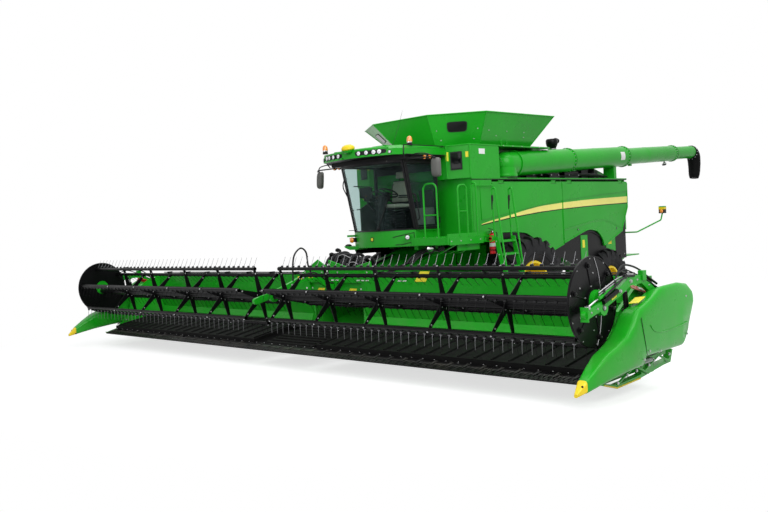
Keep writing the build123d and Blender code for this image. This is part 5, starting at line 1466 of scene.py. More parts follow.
# x, z, radius
PULLEYS = ((-3.9, 2.75, 0.26), (-2.9, 2.2, 0.17), (-2.3, 2.85, 0.2), (-0.9, 2.5, 0.3), (0.2, 2.35, 0.16))


def behind_panels():
    """Drives and guards that show when a side panel is up, and the seals between the panels."""
    piece = Piece("hose")
    for _ in piece.both():
        piece.use("hose")
        for x in (-1.805, 0.805):
            piece.block((x - 0.004, x + 0.004), (1.57, 1.594), (2.1, 3.2))
        for x, z, r in PULLEYS:
            piece.use("black").disc((x, 1.1, z), OUT, 40, 0.06, (0.1, 0.06), (0.1, r), (0.12, r),
                                    (0.135, r - 0.02),
                                    (0.15, r), (0.17, r), (0.17, 0.08), (0.21, 0.06), (0.215, 0.01))
            piece.use("steel").bolts([(x, 1.315, z)], OUT, 0.03)
        piece.use("belt")
        for pair in zip(PULLEYS, PULLEYS[1:]):
            (xa, za, _), (xb, zb, _) = pair
            along = Vector((xb - xa, 0, zb - za)).normalized()
            over = Vector((-along.z, 0, along.x))
            for way in (1, -1):
                piece.tube([Vector((x, 1.235, z)) + over * (way * r) for x, z, r in pair], 0.012, 6)
        piece.use("green")
        for x0, x1, z in ((-4.6, -2.4, 3.0), (-1.7, 0.7, 3.0), (-1.7, 0.7, 1.9)):
            piece.plate("y", 1.1, 0.05, rectangle(x0, x1, z, z + 0.08))
        piece.use("steel").hose([(0.7, 1.15, 2.6), (-0.3, 1.17, 2.9), (-1.6, 1.17, 2.7)], 0.016)
    piece.done("side_drives", "chassis", "black_paint")


# ---- grain tank, hood and auger -----------------------------------------------------------------

TANK_TOP = 3.95
RIM_TOP = 4.6


def tank_corner(y, z, out=0.0):
    """A point on the slanted front corner of the grain tank."""
    return Vector((1.6 - 0.12 * (y - 1.1) / 0.5 + out * 0.972, y + out * 0.233, z))


def tank_details():
    """Corner windows, rolled edges, seams, blank labels, grab handle, and a black strip painted as the shadow
    in the gap under the deck's edge.
    """
    piece = Piece("hose")
    for side in piece.both():
        for finish, low_y, high_y, low_z, high_z, thick in (
                ("hose", 1.19, 1.44, 3.455, 3.815, 0.012), ("dark_glass", 1.215, 1.415, 3.485, 3.785, 0.016),
                ("label_yellow", 1.085, 1.15, 3.64, 3.82, 0.004), ("label_yellow", 1.515, 1.575, 3.69, 3.8,
                                                                   0.004)):
            corners = [tank_corner(y, z) for y, z in rectangle(low_y, high_y, low_z, high_z)]
            piece.use(finish).slab(corners, tank_corner(1.2, 0, thick) - tank_corner(1.2, 0))
        piece.use("green")
        for y in (1.1, 1.6):
            piece.tube([tank_corner(y, 3.3, -0.006), tank_corner(y, 3.94, -0.006)], 0.016, 10)
        piece.tube([(1.592, -1.09, 3.935), (1.592, 1.09, 3.935)], 0.014)
        piece.tube([tank_corner(1.1, 3.94), tank_corner(1.6, 3.94), (0.47 if side > 0 else -1.39, 1.6, 3.94)],
                   0.014)
        if side < 0:
            for x in spread(-1.3, 1.3, 0.65):
                piece.plate("y", 1.6, 0.012, rectangle(x - 0.02, x + 0.02, 3.34, 3.9))
        # painted shadow: a black strip along the gap under the deck's edge, with the green lip above it
        piece.use("black").block((-4.79, 1.46), (1.585, 1.604), (3.236, 3.252))
        piece.use("green").block((-4.79, 1.46), (1.56, 1.606), (3.262, 3.278))
    piece.use("white_mark_and_highlight").plate("y", 1.6, 0.003, rectangle(1.179, 0.985, 3.754, 3.861))
    piece.use("green").hose([(0.28, 1.5, TANK_TOP), (0.27, 1.5, 4.07), (0.1, 1.5, 4.07),
                             (0.08, 1.5, TANK_TOP)], 0.012)
    piece.block((-1.38, 0.42), (1.52, 1.606), (3.925, 3.956))
    piece.use("steel").bolts([(x, 1.606, 3.94) for x in spread(-1.3, 0.35, 0.33)], OUT, 0.01)
    piece.done("tank_details", "chassis", "green_paint", smooth=40)


FLARE = {
    # plan corners of the tank extension: x, y at its foot and at its rim, from the front round to the rear;
    # the right-hand wing leans out much further than the left one beside the auger
    1: ((1.54, 0.79, 1.74, 0.77), (0.95, 1.45, 1.03, 1.73), (-0.8, 1.45, -1.22, 1.85)),
    -1: ((1.54, 0.205, 1.74, 0.77), (0.95, 0.83, 1.03, 1.73), (-0.8, 1.45, -1.22, 1.85)),
}
FLANGE = ((1.59, 0.82), (1.01, 1.53), (-1.2, 1.53))
MOUTH = ((1.4, 0.76), (1.0, 1.1), (-1.2, 1.1))
FLARE_SHEET = 0.006           # thickness of the extension's sheet


def flare_point(side, i, u, v, out=0.0):
    """A point on facet i of the extension, u along it and v up it, out from the sheet."""
    (ax, ay, bx, by), (cx, cy, dx, dy) = FLARE[side][i], FLARE[side][i + 1]
    foot = Vector((ax, ay, TANK_TOP)).lerp(Vector((cx, cy, TANK_TOP)), u)
    rim = Vector((bx, by, RIM_TOP)).lerp(Vector((dx, dy, RIM_TOP)), u)
    normal = Vector((cx - ax, cy - ay, 0)).cross(Vector((bx - ax, by - ay, RIM_TOP - TANK_TOP))).normalized()
    return foot.lerp(rim, v) + normal * out


def extension_walls():
    """The flared sheet walls of the tank extension on their flange."""
    piece = Piece("green")
    for side in piece.both():
        for i in (0, 1):
            piece.loft([[flare_point(side, i, u / 12, v / 6) for v in range(7)] +
                        [flare_point(side, i, u / 12, v / 6,
                                     -FLARE_SHEET) for v in range(6, -1, -1)] for u in range(13)])
            inner = [flare_point(side, i, u, 0, -0.01) for u in (0, 1)]
            for edge in (FLANGE, MOUTH) if side > 0 else (FLANGE,):
                (ax, ay), (bx, by) = edge[i], edge[i + 1]
                piece.slab([*inner, (bx, by, TANK_TOP), (ax, ay, TANK_TOP)], (0, 0, FLARE_SHEET))
    piece.block((1.4, 1.55), (-0.76, 0.79), (TANK_TOP, TANK_TOP + FLARE_SHEET))
    piece.block((0.52, 0.526), (1.06, 1.59), (3.3, 3.94))
    for i, thick in ((0, -FLARE_SHEET), (2, FLARE_SHEET)):
        (ax, ay, bx, by), (cx, cy, dx, dy) = FLARE[1][i], FLARE[-1][i]
        edge, out = FLANGE[i]
        foot = [(ax, ay, TANK_TOP), (cx, -cy, TANK_TOP)]
        piece.slab([*foot, (dx, -dy, RIM_TOP), (bx, by, RIM_TOP)], (thick, 0, 0))
        piece.slab([*foot, (edge, -out, TANK_TOP), (edge, out, TANK_TOP)], (0, 0, FLARE_SHEET))
    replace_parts(piece.done("extension_walls", "chassis", "green_paint", smooth=20), "tank_extensions")


def extension_details():
    """Corner windows, rolled rim, corner seams, stiffeners and bolts of the tank extension."""
    piece = Piece("green")
    pane = [(0.33 + 0.34 * (0.5 + 0.5 * c), 0.455 + 0.27 * (0.5 + 0.5 * s)) for c, s in rounded(24, 0.35)]
    seal = [(0.5 + (u - 0.5) * 1.12, 0.59 + (v - 0.59) * 1.16) for u, v in pane]
    rim = [(x, y, RIM_TOP - 0.008) for x, y in ((1.74, 0), (1.74, 0.77), (1.03, 1.73), (-1.22, 1.85),
                                                (-1.22, 0))]
    for side in piece.both():
        piece.use("green")
        for ends in zip(rim, rim[1:]):
            piece.tube(ends, 0.013)
        for i, u in ((0, 0.0), (0, 1.0), (1, 1.0)):
            piece.tube([flare_point(side, i, u, v) for v in (0, 1)], 0.01)
        for outline, out, finish in ((seal, 0.008, "hose"), (pane, 0.011, "dark_glass")):
            face = [flare_point(side, 0, u, v) for u, v in outline]
            piece.use(finish).slab(face, flare_point(side, 0, 0.5, 0.5, out) - flare_point(side, 0, 0.5, 0.5))
        piece.use("steel")
        for i, us, v in ((0, (0.1, 0.9), 0.5), (0, (0.15, 0.85), 0.2), (1, (0.1, 0.4, 0.7), 0.45),
                         (1, (0.25, 0.75), 0.3)):
            for u in us:
                at = flare_point(side, i, u, v)
                piece.bolts([at], flare_point(side, i, u, v, 1.0) - at, 0.009)
        piece.use("green")
        for u in (0.3, 0.65):
            piece.tube([flare_point(side, 1, u, v, -0.015) for v in (0.02, 0.97)], 0.014, 6)
    piece.done("extension_details", "chassis", "green_paint", smooth=40)


def bar(piece, y, half, first, last, shift):
    """A flat bar from one X-Z place to the other, half its width to each side of y."""
    (x0, z0), (x1, z1) = first, last
    piece.slab([(x0, y - half, z0), (x1, y - half, z1), (x1, y + half, z1), (x0, y + half, z0)], shift)


def hood_details():
    """Louvres, ribs, rolled edges and hand grips of the engine hood."""
    piece = Piece("black")
    for front, rear, low, high, pitch in ((-1.6, -2.3, 3.38, 3.7, 0.045), (-3.0, -4.3, 3.32, 3.5, 0.04)):
        for z in spread(low, high, pitch):
            slat = [(front, 1.08, z), (rear, 1.08, z), (rear, 1.096, z - 0.02), (front, 1.096, z - 0.02)]
            piece.slab(slat, (0, 0, 0.01))
    piece.use("green")
    for y in spread(-0.95, 0.95, 0.38):
        bar(piece, y, 0.03, (-2.36, 3.86), (-3.86, 3.636), (0, 0, 0.014))
        bar(piece, y, 0.03, (-3.95, 3.612), (-4.66, 3.42), (0, 0, 0.014))
    for _ in piece.both():
        piece.tube([(x, 1.08, z) for x, z in ((-1.5, 3.855), (-2.3, 3.855), (-3.9, 3.615), (-4.695, 3.395))],
                   0.012)
    piece.use("steel")
    for x in (-3.3, -4.0):
        piece.tube([(x, 1.085, 3.3), (x, 1.1, 3.35), (x, 1.1, 3.4), (x, 1.085, 3.44)], 0.007, 6)
    piece.done("hood_details", "chassis", "green_paint")


REAR_FACE = ((-5.18, 3.05), (-5.3, 2.3), (-5.52, 1.8))
REAR_CHEEK = ((-4.86, 1.62), (-5.3, 1.32), (-5.46, 1.8), (-5.2, 2.4), (-5.1, 3.0), (-4.86, 3.0))


def chopper_details():
    """Rear hood ribs, bolts, curtains, spreader vanes, lamps and blank plates."""
    piece = Piece("green")
    for y in spread(-0.9, 0.9, 0.36):
        for ends in zip(REAR_FACE, REAR_FACE[1:]):
            bar(piece, y, 0.02, *ends, (-0.018, 0, 0))
    piece.use("black")
    for y in spread(-0.98, 0.98, 0.14):
        bar(piece, y, 0.06, (-5.566, 1.27), (-5.53, 1.72), (-0.01, 0, 0))
    for y in (0.56, -0.56):
        centre = Vector((-5.56, y, 1.08))
        piece.use("black")
        for k in range(6):
            a = math.tau * k / 6
            c, s = math.cos(a), math.sin(a)
            foot = centre + Vector((c * 0.1 - s * 0.01, s * 0.1 + c * 0.01, 0))
            tip = centre + Vector((c * 0.41, s * 0.41, 0))
            vane = [foot, tip, tip - Vector((0, 0, 0.06)), foot - Vector((0, 0, 0.04))]
            piece.slab(vane, (-s * 0.006, c * 0.006, 0))
        piece.disc(centre, DOWN, 24, 0.1, (0.03, 0.1), (0.05, 0.06))
        piece.use("steel").bolts([centre - Vector((0, 0, 0.05))], DOWN, 0.02)
    for _ in piece.both():
        piece.use("plastic").block((-5.28, -5.18), (0.78, 1.0), (2.7, 2.86))
        piece.use("red_lens").block((-5.292, -5.28), (0.79, 0.88), (2.715, 2.845))
        piece.use("amber").block((-5.292, -5.28), (0.9, 0.99), (2.715, 2.845))
        piece.use("steel").bolts([(-4.95, 1.08, z) for z in (1.7, 2.1, 2.5, 2.9)], OUT, 0.014)
        piece.use("green").plate("y", 1.08, 0.014, REAR_CHEEK)
        tail_lamp(piece)
    plate = [(-5.25, -0.26, 2.5), (-5.25, 0.26, 2.5), (-5.2, 0.26, 2.9), (-5.2, -0.26, 2.9)]
    piece.use("white_mark_and_highlight").slab(plate, (-0.03, 0, 0))
    piece.done("rear_details", "chassis", "green_paint", smooth=40)


def tail_lamp(piece):
    """Lamp cluster on the end of its bent arm: yellow cap, dark housing, amber and red lenses."""
    piece.use("plastic").block((-5.715, -5.605), (2.026, 2.174), (2.356, 2.455))
    piece.use("yellow").block((-5.717, -5.603), (2.023, 2.177), (2.455, 2.512))
    piece.use("green").block((-5.715, -5.605), (2.026, 2.174), (2.512, 2.537))
    for finish, x, way in (("amber", -5.605, 1), ("red_lens", -5.715, -1)):
        piece.use(finish).disc((x, 2.1, 2.41), (way, 0, 0), 20, 0.045, (0.012, 0.043), (0.022, 0.03),
                               (0.025, 0.005))


AUGER_START = Vector((0.08, 1.42, 3.575))
AUGER_RUN = Vector((-8.72, 1.545, 4.04)) - AUGER_START
AUGER_STEPS = ((0.27, 0.28), (0.555, 0.263), (0.86, 0.223))   # share of the run, radius of the flange there


def on_auger(share, drop=0.0):
    return AUGER_START + AUGER_RUN * share - Vector((0, 0, drop))


def auger_details():
    """Flange bolts, wear rings, collar, drive cover, lamp, brackets and blank label of the unloading tube."""
    piece = Piece("steel")
    along = AUGER_RUN.normalized()
    u, v = across(along)
    y_way = Vector(OUT)
    for share, r in AUGER_STEPS:
        at = on_auger(share)
        piece.use("steel")
        for spot in ring(at, r - 0.018, 20, u, v):
            for way in (1, -1):
                piece.bolts([spot + along * (way * 0.026)], along * way, 0.011)
        piece.use("black").turned(at, along, [(-0.004, r + 0.002), (0.004, r + 0.002)], 48)
    neck = on_auger(0.033)
    collar = [(-0.03, 0.268), (-0.03, 0.285), (0.0, 0.285), (0.0, 0.268)]
    piece.use("green").turned(neck, along, collar, 48, closed=True)
    piece.use("black").turned(neck, along, [(0.002, 0.27), (0.01, 0.272), (0.018, 0.27)], 48)
    piece.use("green")
    for share, r in ((0.09, 0.262), (0.16, 0.262), (0.40, 0.245), (0.68, 0.205)):
        piece.turned(on_auger(share), along, [(-0.01, r), (0, r + 0.003), (0.01, r)], 48)
    cap = AUGER_START
    lid = [(0.13, 0.13), (0.16, 0.13), (0.175, 0.11), (0.18, 0.02)]
    piece.turned(cap + Vector((0.1, 0, 0.02)), (1, 0.0, 0.1), lid, 32)
    piece.disc((0.08, 1.42, 3.31), UP, 48, 0.262, (0.03, 0.27), (0.05, 0.262))
    piece.use("steel").bolts(ring(cap + Vector((0.262, 0, 0.045)), 0.105, 10, y_way), (1, 0, 0.1), 0.011)
    label = [on_auger(0.515) + along * (h * 0.1) + Vector((0, math.cos(a), math.sin(a))) * 0.247
             for a in map(math.radians, range(-22, 30, 8)) for h in (-1, 1)]
    piece.use("white_mark_and_highlight").add(label, [(i, i + 1, i + 3, i + 2) for i in range(0, len(label) - 2, 2)])
    lamp = on_auger(0.8125, 0.2)
    aim = Vector((-0.3, 0, -0.95)).normalized()
    piece.use("plastic").tube([lamp + Vector((0, 0, 0.05)), lamp - Vector((0, 0, 0.05))], 0.015)
    round_lamp(piece, lamp - Vector((0, 0, 0.08)), aim, 0.045)
    piece.disc(lamp - Vector((0, 0, 0.03)), aim, 20, 0.03, (0.04, 0.055))
    piece.use("green")
    for share, drop in ((0.12, 0.2), (0.3, 0.2), (0.6, 0.19)):
        x, y, z = on_auger(share, drop)
        piece.block((x - 0.05, x + 0.05), (y - 0.03, y + 0.03), (z - 0.06, z + 0.03))
    piece.done("auger_details", "unloading_auger", "green_paint", smooth=40)
    rest = Piece("hose").disc((0.08, 1.42, 3.285), UP, 48, 0.27, (0.012, 0.27))
    rest.done("auger_ring_details", "chassis", "black_paint")


def rubber_spout():
    """Soft spout on the end of the unloading tube, bent down, with a rounded lip."""
    line = curve([(x, 1.545, z) for x, z in ((-8.66, 4.037), (-8.76, 4.02), (-8.865, 3.93), (-8.905, 3.76),
                                             (-8.9, 3.56), (-8.875, 3.4), (-8.86, 3.3))])
    sizes = (0.178, 0.186, 0.182, 0.172, 0.16, 0.148, 0.12)
    radii = [a + (b - a) * i / 6 for a, b in zip(sizes, sizes[1:]) for i in range(6)] + [sizes[-1]]
    piece = Piece("belt").tube(line, radii, 28)
    piece.disc(line[1], line[1] - line[0], 36, 0.19, (0.035, 0.192), (0.04, 0.184))
    for i in (14, 20, 26):
        r = radii[i]
        piece.turned(line[i], line[i + 1] - line[i], [(-0.012, r), (0, r + 0.006), (0.012, r)], 36)
    piece.use("steel")
    centre = line[1] - Vector((0.02, 0, 0))
    for spot in ring(centre, 0.19, 14, Vector(OUT)):
        piece.bolts([spot], spot - centre, 0.011)
    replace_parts(piece.done("rubber_spout", "unloading_auger", "belt_rubber", smooth=60), "auger_spout")


def screen_details():
    """Wire mesh, rim and hub of the rotary cooling screen."""
    piece = Piece("steel")
    centre = Vector((-2.65, -1.586, 3.545))
    for r in spread(0.04, 0.225, 0.0145):
        wire = [(0, r - 0.0015), (0.003, r - 0.0015), (0.003, r + 0.0015), (0, r + 0.0015)]
        piece.turned(centre, IN, wire, 48, closed=True)
    mesh_at = centre - Vector((0, 0.003, 0))
    for ends in zip(ring(mesh_at, 0.03, 36), ring(mesh_at, 0.226, 36)):
        piece.tube(ends, 0.002, 4)
    rim = [(-0.01, 0.225), (0.008, 0.225), (0.008, 0.236), (-0.01, 0.236)]
    piece.use("black").turned(centre, IN, rim, 48, closed=True)
    piece.disc(centre, IN, 24, 0.05, (0.012, 0.05), (0.018, 0.03))
    piece.done("screen_mesh", "rotary_screen", "black_paint")


# ---- landing, ladder and running gear -----------------------------------------------------------

DECK = 2.14


def platform_details():
    """Deck grating, kick plates, skirt panels, brackets, hoses and lamps of the landing beside the cab."""
    piece = Piece("green")
    for x in spread(0.9, 2.52, 0.06):
        piece.block((x - 0.004, x + 0.004), (1.12 if x < 1.47 else 0.96, 1.82), (2.139, 2.152))
    for y in (1.15, 1.5, 1.8):
        piece.block((0.88, 2.54), (y - 0.005, y + 0.005), (2.139, 2.15))
    piece.block((0.86, 2.56), (1.828, 1.838), (DECK, 2.2))
    piece.plate("y", 1.852, 0.008, rectangle(1.5, 2.53, 1.985, 2.125))
    piece.plate("x", 2.572, 0.008, rectangle(1.0, 1.8, 2.0, 2.125))
    piece.plate("y", 1.43, 0.34, rectangle(1.52, 2.2, 1.87, 1.98))
    for x in (1.6, 1.95, 2.3):
        piece.tube([(x, 1.82, 2.0), (x - 0.1, 1.3, 1.82), (x - 0.15, 1.1, 1.8)], 0.02)
    piece.use("steel").bolts([(x, 1.86, 2.06) for x in (1.6, 1.9, 2.2, 2.48)], OUT, 0.011)
    for x, y in ((2.2, 1.833), (1.94, 1.833), (1.64, 1.833), (2.54, 1.27), (2.54, 1.6)):
        piece.use("green").disc((x, y, DECK), UP, 16, 0.034, (0.008, 0.034), (0.01, 0.02))
        piece.use("steel").bolts([(x + 0.024, y - 0.02, 2.148)], UP, 0.006)
    piece.use("hose")
    for y, r, z in ((0.95, 0.02, 1.88), (1.05, 0.024, 1.86), (1.15, 0.018, 1.84)):
        piece.hose([(1.5, y, 1.9), (1.9, y + 0.05, z), (2.25, y - 0.04, 1.9), (2.5, y * 0.9, 1.78),
                    (2.62, y * 0.85, 1.66)], r)
    for y, r in ((0.6, 0.0176), (0.3, 0.016), (-0.1, 0.0144), (-0.5, 0.0176), (-0.8, 0.016)):
        piece.tube([(1.5, y, 1.986), (1.9, y + 0.03, 1.986), (2.3, y, 1.986)], r)
    piece.use("black").block((1.45, 2.45), (-0.775, -0.755), (1.86, 2.0))
    piece.use("plastic").disc((2.32, 1.2, 1.93), (0.8, 0.6, 0), 24, 0.09, (0.12, 0.09), (0.13, 0.08))
    piece.use("chrome").disc((2.42, 1.275, 1.93), (0.8, 0.6, 0), 24, 0.06, (0.02, 0.06), (0.03, 0.03))
    piece.use("hose").disc((2.3, 1.42, 1.93), (0.6, 0.8, 0), 20, 0.05, (0.2, 0.05), (0.22, 0.03))
    piece.done("platform_details", "chassis", "green_paint", smooth=40)


def extinguisher_details():
    """Valve, gauge, hose, nozzle, strap and blank label of the fire extinguisher."""
    x, y = 1.29, 1.916
    piece = Piece("black")
    piece.disc((x, y, DECK), UP, 20, 0.05, (0.015, 0.03), (0.03, 0.028))
    piece.block((x - 0.02, x + 0.09), (y - 0.014, y + 0.014), (2.2, 2.212))
    bar(piece, y, 0.012, (x - 0.02, 2.225), (x + 0.11, 2.255), (0, 0, 0.008))
    piece.hose([(x, y + 0.03, 2.18), (x - 0.05, y + 0.075, 2.16), (x - 0.03, y + 0.08, 2.0),
                (x - 0.01, y + 0.075, 1.86)],
               0.009)
    piece.disc((x - 0.01, y + 0.075, 1.86), DOWN, 12, 0.011, (0.06, 0.018))
    for z in (1.82, 2.05):
        piece.disc((x, y, z), UP, 32, 0.0645, (0.02, 0.0645))
    piece.use("white_mark_and_highlight").disc((x, y, 1.9), UP, 32, 0.0635, (0.07, 0.0635))
    piece.use("red").disc((x, y, 2.125), UP, 32, 0.063, (0.015, 0.055), (0.028, 0.035))
    piece.use("steel").disc((x + 0.02, y + 0.02, 2.19), (0.5, 0.8, 0), 12, 0.014, (0.012, 0.014),
                            (0.014, 0.01))
    piece.done("extinguisher_details", "chassis", "black_plastic")


def ladder_details():
    """Serrated treads, tread bolts, hand grips and the amber marker lamp of the boarding ladder."""
    piece = Piece("green")
    for i in range(6):
        share = (i + 0.35) / 6
        y, z = 2.12 + 0.33 * share, 2.09 - 1.53 * share
        piece.use("green")
        for x in spread(0.93, 1.42, 0.035):
            for step in (y - 0.035, y, y + 0.035):
                piece.block((x - 0.011, x + 0.011), (step - 0.006, step + 0.006), (z + 0.014, z + 0.024))
        piece.use("steel")
        for x, way in ((0.885, -1), (1.465, 1)):
            piece.bolts([(x, y, z)], (way, 0, 0), 0.012)
    piece.use("hose").block((0.886, 1.466), (2.4, 2.5), (0.548, 0.562))
    piece.use("amber").disc((0.87, 2.12, 2.0), (-0.3, 0.9, 0), 16, 0.03, (0.015, 0.028), (0.022, 0.01))
    piece.use("hose")
    for x in (0.9, 1.45):
        piece.tube([(x, 2.078, 2.9), (x, 2.076, 2.62)], 0.0215, 10)
    piece.done("ladder_details", "boarding_ladder", "green_paint")


def axle_details():
    """Final drive bolts and collars, brake hoses, frame bolts, steering boots and the knuckles' caps."""
    piece = Piece("steel")
    for _ in piece.both():
        piece.use("steel").bolts(ring((0, 1.54, 1.02), 0.195, 12), OUT, 0.016)
        piece.use("green").disc((0, 1.24, 1.02), OUT, 40, 0.226, (0.02, 0.24), (0.04, 0.24), (0.06, 0.226))
        piece.use("hose").hose([(-0.16, 0.5, 1.19), (-0.24, 0.9, 1.12), (-0.22, 1.2, 1.28)], 0.014)
        piece.use("steel").bolts([(x, 0.602, z) for x in spread(-4.4, 0.4, 0.4) for z in (1.3, 1.22)], OUT,
                                 0.014)
    piece.use("hose")
    for _ in piece.both():
        piece.disc((-3.455, 0.33, 0.893), OUT, 20, 0.05, (0.01, 0.056), (0.02, 0.046), (0.03, 0.056),
                   (0.04, 0.044),
                   (0.05, 0.05), (0.06, 0.04))
    piece.done("axle_details", "chassis", "black_paint")
    for word, side in SIDES:
        knuckle = Piece("steel", side)
        for z, way in ((0.668, DOWN), (0.902, UP)):
            knuckle.disc((-3.685, 1.01, z), way, 20, 0.066, (0.006, 0.06))
        knuckle.bolts(ring((-3.685, 1.18, 0.785), 0.072, 8), OUT, 0.01)
        knuckle.use("black").disc((-3.685, 1.06, 0.785), OUT, 28, 0.09, (0.02, 0.1), (0.1, 0.1),
                                  (0.11, 0.088))
        knuckle.done(f"knuckle_details_{word}", f"steering_knuckle_{word}", "cast")


def feeder_details():
    """Ribs, stone trap door, chain case, bolts, hoses and a blank plate on the feeder house."""
    piece = Piece("green")
    for _ in piece.both():
        piece.use("green")
        for x0, z0, x1, z1 in ((1.4, 0.95, 3.4, 1.0), (1.3, 1.55, 3.45, 1.2)):
            piece.plate("y", 0.7, 0.018, ((x0, z0), (x1, z1), (x1, z1 + 0.05), (x0, z0 + 0.05)))
        piece.plate("y", 0.7, 0.03, ((1.9, 1.05), (2.9, 1.02), (2.9, 1.17), (1.9, 1.36)))
        heads = ((1.95, 1.1), (2.4, 1.1), (2.85, 1.06), (1.95, 1.3), (2.85, 1.14))
        piece.use("steel").bolts([(x, 0.73, z) for x, z in heads], OUT, 0.012)
        piece.use("black").disc((0.85, 0.702, 1.6), OUT, 28, 0.12, (0.012, 0.12), (0.018, 0.09))
        piece.use("hose")
        for y in (0.5, 0.45, 0.4):
            piece.hose([(1.5, y + 0.05, 1.8), (2.1, y, 1.664), (2.9, y + 0.02, 1.478), (3.45, y + 0.1, 1.42)],
                       0.014)
    piece.use("green")
    for x in (1.5, 2.0, 2.5, 3.0):
        z = 1.93 - (x - 0.85) * 0.235
        bar(piece, 0, 0.66, (x - 0.03, z + 0.005), (x + 0.03, z - 0.009), (0, 0, 0.02))
    piece.use("steel")
    for z in (0.5, 0.7, 0.9, 1.1, 1.3):
        piece.bolts([(3.5, 0.74, z), (3.5, -0.74, z)], (-1, 0, 0), 0.016)
    piece.done("feeder_details", "header", "green_paint")


# ---- operator's seat ----------------------------------------------------------------------------

CUSHIONS = (
    # name, low corner, high corner, lean of the top in X, places of the sewn channels in Y, finish
    ("seat_cushion", (1.785, -0.255, 2.755), (2.275, 0.255, 2.865), 0.0, (-0.15, 0.15), "seat"),
    ("seat_back", (1.785, -0.235, 2.88), (1.885, 0.235, 3.34), -0.055, (-0.14, 0.14), "seat"),
    ("seat_head_rest", (1.745, -0.14, 3.37), (1.83, 0.14, 3.54), -0.012, (), "seat"),
    ("seat_arm_pad_left", (1.83, 0.272, 2.985), (2.2, 0.348, 3.035), 0.0, (), "seat_dark"),
    ("seat_arm_pad_right", (1.83, -0.348, 2.985), (2.2, -0.272, 3.035), 0.0, (), "seat_dark"),
)
CUSHION_MESH = 0.009
CUSHION_BULGE = 0.024


def bake_modifiers(obj):
    """Keeps the shape that the modifiers make and drops them."""
    bpy.context.view_layer.update()
    made = bpy.data.meshes.new_from_object(obj.evaluated_get(bpy.context.evaluated_depsgraph_get()))
    obj.modifiers.clear()
    obj.data = made


def inflate(obj, seams, low_z):
    """Blows the cushion up a little with its seams and its underside held, then keeps that shape."""
    remesh = obj.modifiers.new("remesh", "REMESH")
    remesh.mode, remesh.voxel_size = "VOXEL", CUSHION_MESH
    bake_modifiers(obj)
    rest = [v.co.copy() for v in obj.data.vertices]
    held = obj.vertex_groups.new(name="held")
    seam_half = CUSHION_MESH * 0.6
    still = [i for i, p in enumerate(rest) if p.z < low_z or any(abs(p.y - y) < seam_half for y in seams)]
    held.add(still, 1.0, "REPLACE")
    soft = obj.modifiers.new("soft", "CLOTH")
    soft.settings.use_pressure = True
    soft.settings.uniform_pressure_force = 4
    soft.settings.effector_weights.gravity = 0
    soft.settings.vertex_group_mass = "held"
    for number in range(1, 21):
        bpy.context.scene.frame_set(number)
    bake_modifiers(obj)
    bpy.context.scene.frame_set(1)
    for vert, start in zip(obj.data.vertices, rest):
        move = vert.co - start
        if move.length > CUSHION_BULGE:
            vert.co = start + move.normalized() * CUSHION_BULGE


def cushion(name, low, high, lean, seams, finish):
    """A padded block on the seat, with a crowned face and pulled-in seams."""
    low, high = Vector(low), Vector(high)
    inset = min(high - low) * 0.16
    low, high = low + Vector([inset] * 3), high - Vector([inset] * 3)
    shape = bmesh.new()
    bmesh.ops.create_cube(shape, size=1.0)
    for vert in shape.verts:
        share = vert.co + Vector((0.5, 0.5, 0.5))
        spot = Vector(a + (b - a) * t for a, b, t in zip(low, high, share))
        vert.co = spot + Vector((lean * share.z, 0, 0)) + AXLE
    bmesh.ops.bevel(shape, geom=shape.edges[:], offset=inset, segments=3, affect="EDGES")
    mesh = bpy.data.meshes.new(name)
    shape.to_mesh(mesh)
    shape.free()
    obj = add_object(name, mesh)
    inflate(obj, seams, low.z + CUSHION_MESH if finish == "seat_dark" or not lean else 0.0)
    fine = obj.modifiers.new("fine", "SUBSURF")
    fine.levels = fine.render_levels = 1
    obj.data.materials.clear()
    obj.data.materials.append(M[finish])
    obj.data.shade_smooth()
    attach(obj, "chassis")
    return obj


def operator_seat():
    """The seat's cushions and pads on their shell, suspension bellows and slides."""
    cushions = [cushion(*row) for row in CUSHIONS]
    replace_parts(cushions[0], "operator_seat")
    piece = Piece("plastic")
    piece.plate("z", 2.73, 0.03, rectangle(1.79, 2.27, -0.25, 0.25))
    bar(piece, 0, 0.22, (1.79, 2.76), (1.735, 3.34), (0.03, 0, 0))
    for y in (-0.07, 0.07):
        piece.tube([(1.75, y, 3.3), (1.75, y, 3.44)], 0.009)
    for _ in piece.both():
        piece.tube([(1.78, 0.25, 2.9), (1.78, 0.31, 2.92), (1.84, 0.31, 2.975)], 0.022, 10)
        piece.plate("z", 2.965, 0.02, rectangle(1.84, 2.19, 0.28, 0.34))
    folds = [(2.37 + i * 0.0245, 0.17 if i % 2 else 0.185) for i in range(15)]
    piece.use("hose").loft([[(2.02 + half * c, half * s, z) for c, s in rounded(32)] for z, half in folds])
    piece.use("plastic").plate("z", 2.31, 0.05, rectangle(1.83, 2.21, -0.2, 0.2))
    piece.use("steel")
    for _ in piece.both():
        piece.block((1.82, 2.24), (0.18, 0.21), (2.705, 2.73))
    piece.done("seat_frame", "chassis", "black_plastic", smooth=40, bevel=0.004)


# ---- behind the lower edges ---------------------------------------------------------------------

